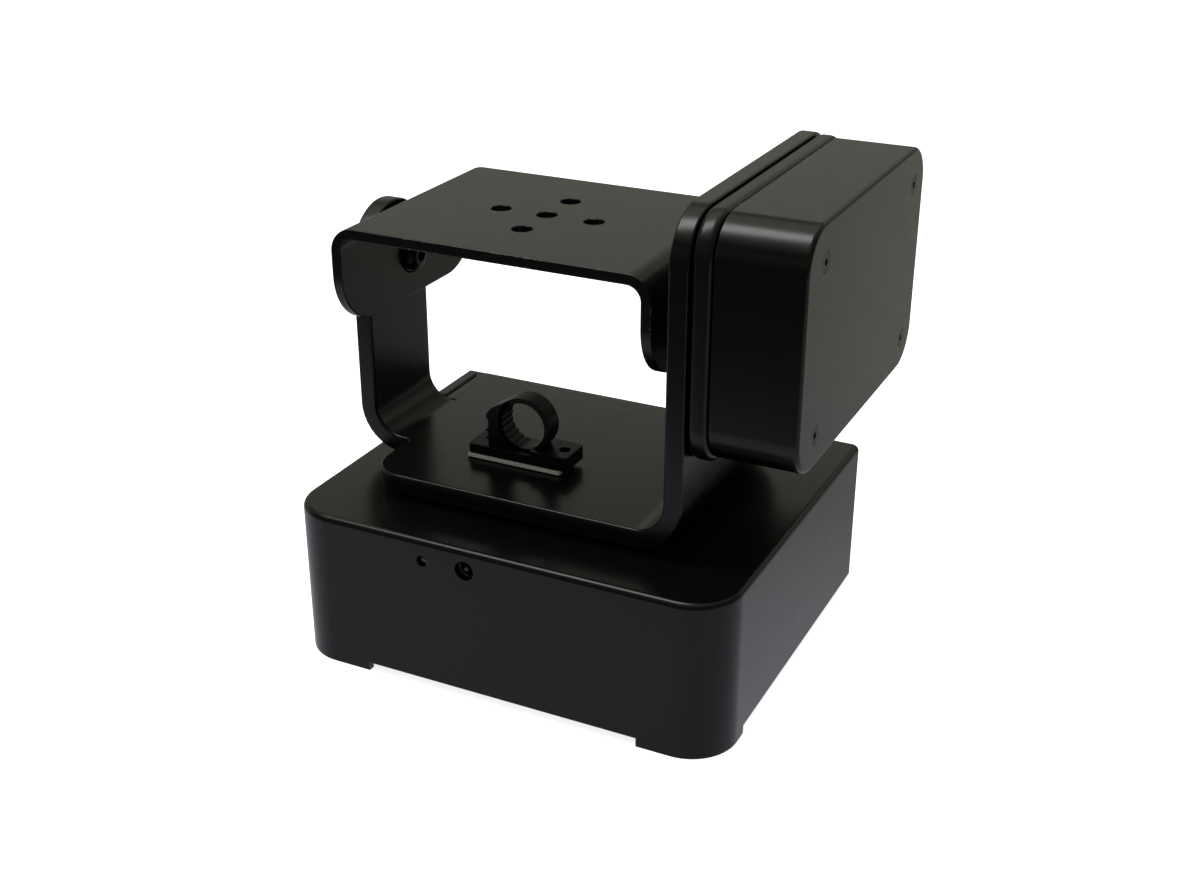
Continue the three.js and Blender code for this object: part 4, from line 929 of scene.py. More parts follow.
# Aims of a screw whose head points down, to the left or to the right
HEAD_DOWN = (math.pi, 0.0, 0.0)
HEAD_LEFT = (0.0, -QUARTER, 0.0)
HEAD_RIGHT = (0.0, QUARTER, 0.0)


# Bent sheet


@dataclass(frozen=True)
class Bend:
    """Sheet bent twice the same way, drawn flat first and then bent, as a press brake does it."""

    left: float
    right: float
    level: float
    radius: float
    sheet: float
    way: int
    steps: int = 10

    @property
    def length(self) -> float:
        """Return the length of one bend along the middle of the sheet."""
        return QUARTER * (self.radius - self.sheet / 2)

    @property
    def middle(self) -> float:
        """Return the length of the straight run between the bends."""
        return self.right - self.left - 2 * self.radius

    def on_middle(self, x: float) -> float:
        """Return the place along the flat sheet of a place across the middle run."""
        return x - self.left - self.radius

    def on_left(self, z: float) -> float:
        """Return the place along the flat sheet of a height on the left arm."""
        return -self.length - (self.way * (z - self.level) - self.radius)

    def on_right(self, z: float) -> float:
        """Return the place along the flat sheet of a height on the right arm."""
        return self.middle + self.length + (self.way * (z - self.level) - self.radius)

    def bent(self, point: Vector) -> Vector:
        """Bend one point.

        Args:
            point: Place along, place across and depth into the flat sheet from its outer face.

        Returns:
            The point's place on the bent sheet.
        """
        along, across, depth = point
        arm = self.radius - depth
        beyond = -along if along < 0 else along - self.middle
        side = -1 if along < 0 else 1
        pivot = self.left + self.radius if along < 0 else self.right - self.radius
        if beyond <= 0:
            x, height = self.left + self.radius + along, depth
        elif beyond <= self.length:
            turn = QUARTER * beyond / self.length
            x, height = pivot + side * arm * math.sin(turn), self.radius - arm * math.cos(turn)
        else:
            x, height = pivot + side * arm, self.radius + beyond - self.length
        return Vector((x, across, self.level + self.way * height))

    def press(self, shape: Mesh, flat_beyond: float | None = None) -> None:
        """Bend a flat sheet in place.

        Args:
            shape: Mesh of the flat sheet.
            flat_beyond: Place across past which a tab beside the left bend stays flat.
        """
        for bend_start, sign in ((0.0, -1), (self.middle, 1)):
            for step in range(self.steps + 1):
                station = (bend_start + sign * self.length * step / self.steps, 0, 0)
                geometry = [*shape.verts, *shape.edges, *shape.faces]
                bmesh.ops.bisect_plane(shape, geom=geometry, dist=1e-5, plane_co=station, plane_no=(1, 0, 0))
        for vertex in shape.verts:
            x, y, z = vertex.co
            if flat_beyond is not None and x < 0 and y > flat_beyond:
                vertex.co = Vector((self.left + self.radius + x, y, self.level + self.way * z))
            else:
                vertex.co = self.bent(vertex.co)
        bmesh.ops.recalc_face_normals(shape, faces=shape.faces)


# Sub-assemblies; lengths are in millimetres from the middle of the base


@dataclass
class BaseHousing:
    """Box of the base, open below, with feet of its own at the two front corners."""

    box: Tray = Tray(
        Axis.Z, (-HALF_WIDTH, -HALF_DEPTH), (HALF_WIDTH, HALF_DEPTH), (15.5, 15.5, 3.0, 3.0),
        start=0.0, end=53.0, wall=2.5, floor=2.0, edge=2.0, steps=8, rim=((0.3, 0.0), (0.1, 0.1), (0.0, 0.3)),
    )
    skirt: float = 3.1
    left_foot: float = 28.7
    right_foot: float = 26.6
    side_foot: float = 20.5
    shaft_hole: float = 24.4
    bearing_seat: float = 32.6
    boss: float = 38.6
    boss_low: float = 39.8
    post: float = 8.0
    post_low: float = 5.4
    inlet: float = 6.5
    lens: float = 3.7

    def build(self) -> Mesh:
        """Return the housing with its hollow, feet, bearing seat, posts and openings."""
        side, end, foot_end = HALF_WIDTH + OVERRUN, HALF_DEPTH + OVERRUN, self.side_foot - HALF_DEPTH
        front_high = (HALF_WIDTH - self.right_foot, foot_end + OVERRUN, self.skirt)
        gaps = [
            block((self.left_foot - HALF_WIDTH, -end, -OVERRUN), front_high),
            block((-side, foot_end, -OVERRUN), (side, end, self.skirt)),
        ]
        shape = carved(self.box.build(), gaps)
        pan, inner = (PAN_X, 0.0), self.box.end - self.box.floor
        root = inner + self.box.floor / 2
        joined = [bore(Axis.Z, pan, self.boss_low, root, self.boss)]
        joined += [bore(Axis.Z, place, self.post_low, root, self.post) for place in POSTS]
        shape = carved(shape, joined, join=True)
        through = (-end, self.box.wall + OVERRUN - HALF_DEPTH)
        cutters = [
            bore(Axis.Z, pan, self.boss_low - OVERRUN, inner, self.bearing_seat),
            bore(Axis.Z, pan, 0, self.box.end + OVERRUN, self.shaft_hole),
            bore(Axis.Y, INLET, *through, self.inlet),
            bore(Axis.Y, LENS_PLACE, *through, self.lens),
        ]
        return carved(shape, cutters)

    def dress(self) -> None:
        """Put the housing into the frame."""
        put("base_box", self.build(), COAT, Body.BASE, "base_housing")


@dataclass
class UnderSide:
    """Recessed bottom plate with its screws, and the two rear feet."""

    half: Pair = (72.1, 60.6)
    radii: tuple[float, ...] = (13.0, 13.0, 3.0, 3.0)
    low: float = 3.1
    high: float = 5.1
    edge: float = 0.3
    screw_length: float = 10.0
    foot_place: Pair = (51.0, 46.5)
    foot: Profile = ((0, 1.2), (2.5, 1.2), (3.0, 0), (6.4, 0), (6.65, 0.9), (7.0, 2.8), (0, 2.8))
    foot_edge: float = 0.2

    def build_cover(self) -> Mesh:
        """Return the bottom plate with its countersunk holes."""
        outline = rectangle((-self.half[0], -self.half[1]), self.half, self.radii)
        holes = [M3.hole(Axis.Z, place, self.low, 1, OVERRUN) for place in POSTS]
        return carved(plate(Axis.Z, outline, [], self.low, self.high, self.edge), holes)

    def build_foot(self, side: int) -> Mesh:
        """Return one rear foot, slightly tapered, with a dimple in its underside."""
        centre = (side * self.foot_place[0], self.foot_place[1])
        return turned(Axis.Z, centre, softened(self.foot, self.foot_edge))

    def dress(self) -> None:
        """Put the underside's pieces into the frame."""
        put("bottom_cover", self.build_cover(), DARK_COAT, Body.BASE, "bottom_plate")
        places = [Vector((x, y, self.low)) for x, y in POSTS]
        screw = M3.countersunk(self.screw_length)
        put_screws("bottom_screws", screw, places, HEAD_DOWN, Body.BASE, "bottom_screw")
        for side, word in ((-1, "left"), (1, "right")):
            put(f"rear_rubber_foot_{word}", self.build_foot(side), RUBBER, Body.BASE, f"rear_foot_{word}")


@dataclass
class FrontPanel:
    """Power inlet and indicator behind their openings in the front wall, as lathe profiles.

    Each profile holds radii and depths: the barrel's from just behind the wall, the others' from its face.
    """

    wall_face: float = -63.5
    inner_face: float = -60.7
    barrel: Profile = ((0, 9.5), (2.85, 9.5), (2.85, 0.4), (3.2, 0), (4.6, 0), (4.6, 14.0), (0, 14.0))
    barrel_edge: float = 0.1
    pin: Profile = ((0, 1.2), (0.5, 1.28), (0.85, 1.5), (1.05, 1.9), (1.05, 19.8), (0, 19.8))
    lens: Profile = (
        (0, 0.9), (0.8, 0.98), (1.3, 1.2), (1.55, 1.5), (1.55, 2.8), (2.7, 2.8), (2.7, 4.2), (1.55, 4.2),
        (1.55, 5.8), (0, 5.8),
    )

    def build(self, profile: Profile, face: float, place: Pair) -> Mesh:
        """Turn a profile that starts at a face about a place in the wall."""
        return turned(Axis.Y, place, [(radius, face + depth) for radius, depth in profile])

    def dress(self) -> None:
        """Put the front panel's pieces into the frame."""
        barrel = self.build(softened(self.barrel, self.barrel_edge), self.inner_face, INLET)
        put("inlet_barrel", barrel, PLASTIC, Body.BASE, "power_inlet")
        put("inlet_centre_pin", self.build(self.pin, self.wall_face, INLET), NICKEL, Body.BASE, "inlet_pin")
        window = self.build(self.lens, self.wall_face, LENS_PLACE)
        put("indicator_window", window, LENS, Body.BASE, "indicator_lens")


@dataclass
class Turntable:
    """Flanged shaft that carries the yoke."""

    flange: float = 56.0
    shaft: float = 20.0
    low: float = 7.9
    flange_low: float = 53.3
    high: float = 55.3
    edge: float = 0.3

    def build(self) -> Mesh:
        """Return the shaft with its flange and the flange's countersunk holes."""
        neck, out = self.shaft / 2, self.flange / 2
        profile = [(0, self.low), (neck, self.low), (neck, self.flange_low), (out, self.flange_low)]
        profile += [(out, self.high), (0, self.high)]
        shape = turned(Axis.Z, (PAN_X, 0), softened(profile, self.edge), 2 * ROUND_SIDES)
        places = circle((PAN_X, 0), HUB_CIRCLE, 4)
        return carved(shape, [M3.hole(Axis.Z, place, self.flange_low, 1, OVERRUN) for place in places])

    def dress(self) -> None:
        """Put the shaft into the frame."""
        put("turntable_shaft", self.build(), STEEL, Body.YOKE, "pan_shaft")


@dataclass
class Yoke:
    """Plate bent up at both ends: a short round-topped arm and a tall wide one."""

    bend: Bend = Bend(-75.2, 52.8, 55.6, 15.5, 6.0, 1)
    front: float = -43.2
    back: float = 43.2
    right_top: float = 159.6
    right_back: float = 73.0
    wide_bottom: float = 83.0
    front_top: float = 16.5
    back_top: float = 13.0
    wide_corner: float = 13.0
    waist: float = 10.0
    plate_left: float = -56.5
    plate_corner: float = 11.5
    notch: float = 3.2
    notch_depth: float = 0.8
    slit: float = 0.12
    arm_half: float = 17.5
    tab_left: float = -69.1
    tab_front: float = 20.2
    tab_back: float = 44.3
    tab_step: float = -55.0
    slot_left: float = -64.6
    slot_right: float = -64.0
    slot_end: float = 41.0
    tab_corner: float = 1.2
    edge: float = 0.8
    bush: float = 18.6
    bolt: float = 8.6
    tapped: float = 1.5
    mount_places: Profile = ((-28.3, 108.0), (-28.3, 132.0), (29.2, 97.4), (29.2, 145.3))
    mount_length: float = 10.7
    arm_inner: float = 46.8

    def outline(self) -> Loop:
        """Return the flat pattern: places along the sheet, measured from the left bend, and across it."""
        bend, arm, apart = self.bend, self.arm_half, self.arm_half + self.slit
        places = (self.plate_left, self.tab_step, self.tab_left, self.slot_left, self.slot_right)
        plate_left, step, tab, slot_left, slot_right = [bend.on_middle(place) for place in places]
        right_top, wide = bend.on_right(self.right_top), bend.on_right(self.wide_bottom)
        arm_top = bend.on_left(TILT_Z + arm)
        reach = plate_left + self.notch_depth
        fine = 0.01
        half_notch = self.notch / 2 - fine
        corners = [
            (plate_left, self.front, self.plate_corner),
            (right_top, self.front, self.front_top),
            (right_top, self.right_back, self.back_top),
            (wide, self.right_back, self.wide_corner),
            (wide, self.back, self.waist),
            (step, self.back, 0),
            (step, self.tab_back, 0),
            (tab, self.tab_back, self.tab_corner),
            (tab, self.tab_front, self.tab_corner),
            (slot_left, self.tab_front, 0),
            (slot_left, self.slot_end, 0),
            (slot_right, self.slot_end, 0),
            (slot_right, apart, 0),
            (0, apart, 0),
            (0, arm, 0),
            (arm_top, arm, arm - fine),
            (arm_top, -arm, arm - fine),
            (0, -arm, 0),
            (reach, -arm, half_notch),
            (reach, -arm - self.notch, half_notch),
            (plate_left, -arm - self.notch, 0),
        ]
        return rounded(corners)

    def build(self) -> Mesh:
        """Return the bent yoke with its holes."""
        bend = self.bend
        holes = [circle((bend.on_right(TILT_Z), 0), self.bush), circle((bend.on_left(TILT_Z), 0), self.bolt)]
        shape = plate(Axis.Z, self.outline(), holes, 0.0, bend.sheet, self.edge)
        bend.press(shape, self.arm_half + self.slit / 2)
        inner, length = self.arm_inner, self.mount_length
        cutters = [M4.hole(Axis.X, place, inner, 1, length) for place in self.mount_places]
        end = bend.level + bend.sheet - self.tapped
        hub = circle((PAN_X, 0), HUB_CIRCLE, 4)
        cutters += [bore(Axis.Z, place, bend.level - OVERRUN, end, CLEAR) for place in hub]
        return carved(shape, cutters)

    def dress(self) -> None:
        """Put the yoke and the screws that fix the drive to it into the frame."""
        put("bent_yoke", self.build(), COAT, Body.YOKE, "yoke")
        proud = 0.02
        places = [Vector((self.arm_inner + proud, y, z)) for y, z in self.mount_places]
        screw = M4.countersunk(self.mount_length)
        put_screws("drive_mount_screws", screw, places, HEAD_LEFT, Body.YOKE, "drive_mount_screw")


@dataclass
class CableClip:
    """Cable clip on a foam pad: a base with a boss, and a toothed post with a strap bent into a ring."""

    pad_low: float = 61.9
    pad_high: float = 63.1
    pad: tuple[float, ...] = (-32.2, -21.2, 4.2, -8.0)
    pad_corner: float = 0.8
    pad_edge: float = 0.15
    tuck: float = 2.6
    low: float = 63.4
    high: float = 66.5
    inset: float = 0.3
    corner: float = 1.2
    boss_left: float = -9.7
    boss_high: float = 68.1
    hole_x: float = 0.2
    hole: float = 3.8
    loop: Pair = (-13.0, 75.1)
    radius: float = 9.4
    ribbon: float = 1.6
    front: float = -18.3
    back: float = -11.1
    post_left: float = -25.8
    latch_left: float = -26.4
    latch: Pair = (75.0, 76.9)
    shoulder: Pair = (-24.6, 79.1)
    teeth_low: float = 68.1
    tooth_pitch: float = 2.7
    tooth_reach: float = 1.5
    tooth_thick: float = 1.3
    tooth_count: int = 2
    tooth_radii: Triple = (0.2, 0.25, 0.3)
    latch_radii: Triple = (0.15, 0.4, 1.0)
    ribs: Pair = (math.radians(165), math.radians(262))
    rib_count: int = 6
    rib: float = 0.45
    edge: float = 0.22

    @property
    def hole_place(self) -> Pair:
        """Return the place of the hole through the clip and its pad."""
        return (self.hole_x, (self.front + self.back) / 2)

    def build_foam(self) -> Mesh:
        """Return the foam pad with its hole."""
        high = (self.pad[2] - self.tuck, self.pad[3] - self.tuck)
        outline = rectangle(self.pad[:2], high, [self.pad_corner] * 4)
        hole = circle(self.hole_place, self.hole)
        return plate(Axis.Z, outline, [hole], self.pad_low, self.pad_high, self.pad_edge)

    def post(self) -> Loop:
        """Return the post's outline: up over its teeth and latch, then down the ring's tangent."""
        x, z = self.loop
        away = Vector(self.shoulder) - Vector(self.loop)
        turn = math.atan2(away.y, away.x) - math.acos(self.radius / away.length)
        left, foot = self.post_left, (self.low + self.high) / 2
        root, tip, back = self.tooth_radii
        below, above, bend = self.latch_radii
        corners = [(x, foot, 0), (left, foot, 0)]
        for number in range(self.tooth_count):
            tooth = self.teeth_low + self.tooth_pitch * number
            corners += [(left, tooth, root), (left - self.tooth_reach, tooth, tip)]
            corners.append((left, tooth + self.tooth_thick, back))
        corners += [
            (left, self.latch[0], root),
            (self.latch_left, self.latch[0], below),
            (self.latch_left, self.latch[1], above),
            (*self.shoulder, bend),
            (x + self.radius * math.cos(turn), z + self.radius * math.sin(turn), 0),
            (x, z, 0),
        ]
        return rounded(corners, EDGE_STEPS + 1)

    def room(self) -> Loop:
        """Return the outline of the cable's room: round, with grip ribs at its lower left."""
        points = []
        for side in range(2 * ROUND_SIDES):
            turn = FULL_TURN * side / (2 * ROUND_SIDES)
            share = (turn - self.ribs[0]) / (self.ribs[1] - self.ribs[0])
            rib = math.sin(math.pi * self.rib_count * share) ** 2 if 0 < share < 1 else 0.0
            reach = self.radius - self.ribbon - self.rib * rib
            points.append(Vector(self.loop) + Vector((math.cos(turn), math.sin(turn))) * reach)
        return points

    def build_clip(self) -> Mesh:
        """Return the clip: base, boss, post and ring joined, with the room for the cable cut out."""
        low = (self.pad[0] + self.inset, self.pad[1] + self.inset)
        high = (self.pad[2] - self.inset, self.pad[3] - self.inset)
        radii = [self.corner] * 4
        ring = circle(self.loop, 2 * self.radius, ROUND_SIDES)
        boss = rectangle((self.boss_left, low[1]), high, radii, FINE)
        base, boss, post, ring = [
            plate(axis, outline, [], start, end, self.edge)
            for axis, outline, start, end in (
                (Axis.Z, rectangle(low, high, radii), self.low, self.high),
                (Axis.Z, boss, self.low + self.inset, self.boss_high),
                (Axis.Y, self.post(), self.front, self.back),
                (Axis.Y, ring, self.front, self.back),
            )
        ]
        shape = carved(base, [boss, post, ring], join=True)
        room = plate(Axis.Y, self.room(), [], self.front - OVERRUN, self.back + OVERRUN, FINE)
        drilled = bore(Axis.Z, self.hole_place, self.low - OVERRUN, self.boss_high + OVERRUN, self.hole)
        return carved(shape, [room, drilled])

    def dress(self) -> None:
        """Put the clip's pieces into the frame."""
        put("foam_strip", self.build_foam(), FOAM, Body.YOKE, "foam_pad")
        put("cable_clip_body", self.build_clip(), NYLON, Body.YOKE, "cable_clip")


@dataclass
class TiltDrive:
    """Back plate and cover of the tilt drive, outside the tall arm."""

    plate_low: Pair = (-42.3, 83.4)
    plate_high: Pair = (72.6, 159.3)
    plate_corner: float = 13.5
    plate_edge: float = 1.8
    plate_inner: float = 53.1
    plate_outer: float = 59.1
    cover: Tray = Tray(
        Axis.X, (-41.0, 84.8), (71.5, 158.8), (13.0,) * 4,
        start=59.4, end=86.3, wall=2.8, floor=2.8, edge=1.4, steps=7,
        rim=((0.3, 0.0), (0.08, 0.1), (0.0, 0.35)),
    )
    bush: float = 18.6
    screw_y: Pair = (-26.5, 59.5)
    screw_z: Pair = (95.3, 147.0)
    screw_length: float = 32.9
    hole_depth: float = 40.0
    boss: float = 8.0
    boss_gap: float = 0.3

    @property
    def places(self) -> list[Pair]:
        """Return the places of the four cover screws."""
        return [(y, z) for y in self.screw_y for z in self.screw_z]

    def build_plate(self) -> Mesh:
        """Return the back plate with the tilt shaft's bore and the cover screws' holes."""
        outline = rectangle(self.plate_low, self.plate_high, [self.plate_corner] * 4)
        shape = plate(Axis.X, outline, [], self.plate_inner, self.plate_outer, self.plate_edge)
        through = (self.plate_inner - OVERRUN, self.plate_outer + OVERRUN)
        holes = [(TILT_AXIS, self.bush), *[(place, CLEAR) for place in self.places]]
        return carved(shape, [bore(Axis.X, place, *through, diameter) for place, diameter in holes])

    def build_cover(self) -> Mesh:
        """Return the cover: a rounded tray with a screw boss near each corner."""
        start, outer = self.cover.start + self.boss_gap, self.cover.end
        end = outer - self.cover.floor / 2
        bosses = [bore(Axis.X, place, start, end, self.boss) for place in self.places]
        holes = [M3.hole(Axis.X, place, outer, -1, self.hole_depth) for place in self.places]
        return carved(carved(self.cover.build(), bosses, join=True), holes)

    def dress(self) -> None:
        """Put the drive's outer pieces into the frame."""
        put("drive_back_plate", self.build_plate(), DARK_COAT, Body.YOKE, "drive_plate")
        put("drive_case", self.build_cover(), COAT, Body.YOKE, "drive_cover")
        sunk = 0.02
        places = [Vector((self.cover.end - sunk, y, z)) for y, z in self.places]
        screw = M3.countersunk(self.screw_length)
        put_screws("case_screws", screw, places, HEAD_RIGHT, Body.YOKE, "cover_screw")


@dataclass
class LeftPivot:
    """Round-headed bolt and flanged bush that hold the platform on the short arm."""

    tip: float = -74.7
    tip_edge: float = 0.6
    head_low: float = -62.9
    head_high: float = -59.6
    head: float = 10.5
    head_edge: float = 0.3
    rim: float = 0.7
    crown: float = 5.6
    dome_steps: int = 7
    shank: float = 8.0
    socket: float = 4.0
    socket_depth: float = 2.1
    running: float = 0.25
    flange: float = 20.0
    bush: float = 12.0
    bush_edge: float = 0.15
    flange_low: float = -68.9
    flange_high: float = -66.9
    bush_high: float = -63.2

    def build_bolt(self) -> Mesh:
        """Return the bolt, its head domed between the rim and the flat crown."""
        out, neck, crown, low = self.head / 2, self.shank / 2, self.crown / 2, self.head_low
        rise = self.head_high - low - self.rim
        tip, edge = self.tip, self.tip_edge
        profile = [(0, tip), (neck - edge, tip), (neck, tip + edge), (neck, low)]
        profile += [(out - self.head_edge, low), (out, low + self.head_edge)]
        for step in range(self.dome_steps + 1):
            turn = QUARTER * step / self.dome_steps
            profile.append((crown + (out - crown) * math.cos(turn), low + self.rim + rise * math.sin(turn)))
        profile.append((0, self.head_high))
        start, end = self.head_high - self.socket_depth, self.head_high + OVERRUN
        socket = hexagon(Axis.X, TILT_AXIS, self.socket, start, end)
        return carved(turned(Axis.X, TILT_AXIS, profile), [socket])

    def build_bush(self) -> Mesh:
        """Return the flanged bush."""
        bored, out, tube = self.shank / 2 + self.running, self.flange / 2, self.bush / 2
        profile = [(bored, self.flange_low), (out, self.flange_low), (out, self.flange_high)]
        profile += [(tube, self.flange_high), (tube, self.bush_high), (bored, self.bush_high)]
        return turned(Axis.X, TILT_AXIS, softened(profile, self.bush_edge))

    def dress(self) -> None:
        """Put the pivot's pieces into the frame."""
        put("pivot_button_screw", self.build_bolt(), OXIDE, Body.YOKE, "pivot_bolt")
        put("pivot_flanged_bush", self.build_bush(), NYLON, Body.PLATFORM, "pivot_bush")


@dataclass
class CameraPlatform:
    """Sheet bent down at both ends, with five camera screw holes in its top."""

    bend: Bend = Bend(-66.6, 40.8, 139.9, 8.0, 3.4, -1)
    half: float = 40.35
    bottom: float = 106.0
    corner: float = 18.0
    hole: float = 6.5
    hole_x: float = -13.0
    spacing: float = 16.3
    spigot: float = 12.6
    screw_circle: float = 24.0
    screw_sides: int = 24
    edge: float = 0.4

    def around(self, centre: Vector) -> Loop:
        """Return the places of the four flange screws about the middle of the flange."""
        turn = Matrix.Rotation(math.pi / 4, 2)
        return [centre + turn @ point for point in circle((0, 0), self.screw_circle, 4)]

    def build(self) -> Mesh:
        """Return the bent platform with its holes."""
        bend = self.bend
        left, right = bend.on_left(self.bottom), bend.on_right(self.bottom)
        outline = rectangle((left, -self.half), (right, self.half), [self.corner] * 4)
        middle = Vector((bend.on_middle(self.hole_x), 0))
        centres = [middle] + [middle + point for point in circle((0, 0), 2 * self.spacing, 4)]
        holes = [circle(centre, self.hole, ROUND_SIDES) for centre in centres]
        hub = Vector((bend.on_right(TILT_Z), 0))
        holes += [circle(place, CLEAR, self.screw_sides) for place in self.around(hub)]
        holes += [circle(place, self.spigot) for place in (hub, (bend.on_left(TILT_Z), 0))]
        shape = plate(Axis.Z, outline, holes, 0.0, bend.sheet, self.edge)
        bend.press(shape)
        return shape

    def dress(self) -> None:
        """Put the platform into the frame."""
        put("bent_platform", self.build(), COAT, Body.PLATFORM, "camera_platform")


@dataclass
class TiltHub:
    """Flanged tilt shaft and the screws that fix the platform to it."""

    inner: float = 37.7
    face: float = 41.1
    flange: float = 34.0
    flange_high: float = 44.1
    collar: float = 18.0
    collar_high: float = 46.5
    shaft: float = 12.0
    end: float = 75.0
    edge: float = 0.25
    seat: float = 37.1
    screw_length: float = 6.9

    @property
    def places(self) -> Loop:
        """Return the places of the four flange screws, the same as the platform's holes."""
        return CameraPlatform().around(Vector(TILT_AXIS))

    def build(self) -> Mesh:
        """Return the shaft with its flange and collar."""
        spigot, out, collar = self.shaft / 2, self.flange / 2, self.collar / 2
        profile = [(0, self.inner), (spigot, self.inner), (spigot, self.face), (out, self.face)]
        profile += [(out, self.flange_high), (collar, self.flange_high), (collar, self.collar_high)]
        profile += [(spigot, self.collar_high), (spigot, self.end), (0, self.end)]
        past = 1.0
        low, high = self.face - past, self.flange_high + past
        shape = turned(Axis.X, TILT_AXIS, softened(profile, self.edge))
        return carved(shape, [bore(Axis.X, place, low, high, CLEAR) for place in self.places])

    def dress(self) -> None:
        """Put the hub's pieces into the frame."""
        put("tilt_hub_shaft", self.build(), STEEL, Body.PLATFORM, "tilt_shaft")
        places = [Vector((self.seat, place.x, place.y)) for place in self.places]
        screw = M3_BUTTON.button(self.screw_length)
        put_screws("hub_button_screws", screw, places, HEAD_LEFT, Body.PLATFORM, "shaft_screw")


@dataclass
class HiddenWorks:
    """Gears, motors and board closed inside the base and the cover: the frame's own solids, finished."""

    kept: tuple[tuple[Finish, tuple[str, ...]], ...] = (
        (STEEL, ("pan_bearing", "pan_sleeve", "pan_nut", "tilt_nut")),
        (BRONZE, ("pan_gear", "pan_pinion", "tilt_gear", "tilt_pinion", "tilt_bush")),
        (ZINC, ("pan_motor", "pan_motor_bracket", "tilt_gearmotor")),
        (ZINC, (*numbered("gearmotor_screw", 2), *numbered("bracket_screw", 4), *numbered("board_screw", 2))),
        (OXIDE, numbered("hub_screw", 4)),
        (BOARD, ("control_board",)),
    )

    def dress(self) -> None:
        """Give each kept node its finish."""
        for finish, nodes in self.kept:
            for name in nodes:
                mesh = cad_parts[name].data
                mesh.materials.clear()
                mesh.materials.append(finish.material())
            LOG.info("%s kept with %s", ", ".join(nodes), finish.name)


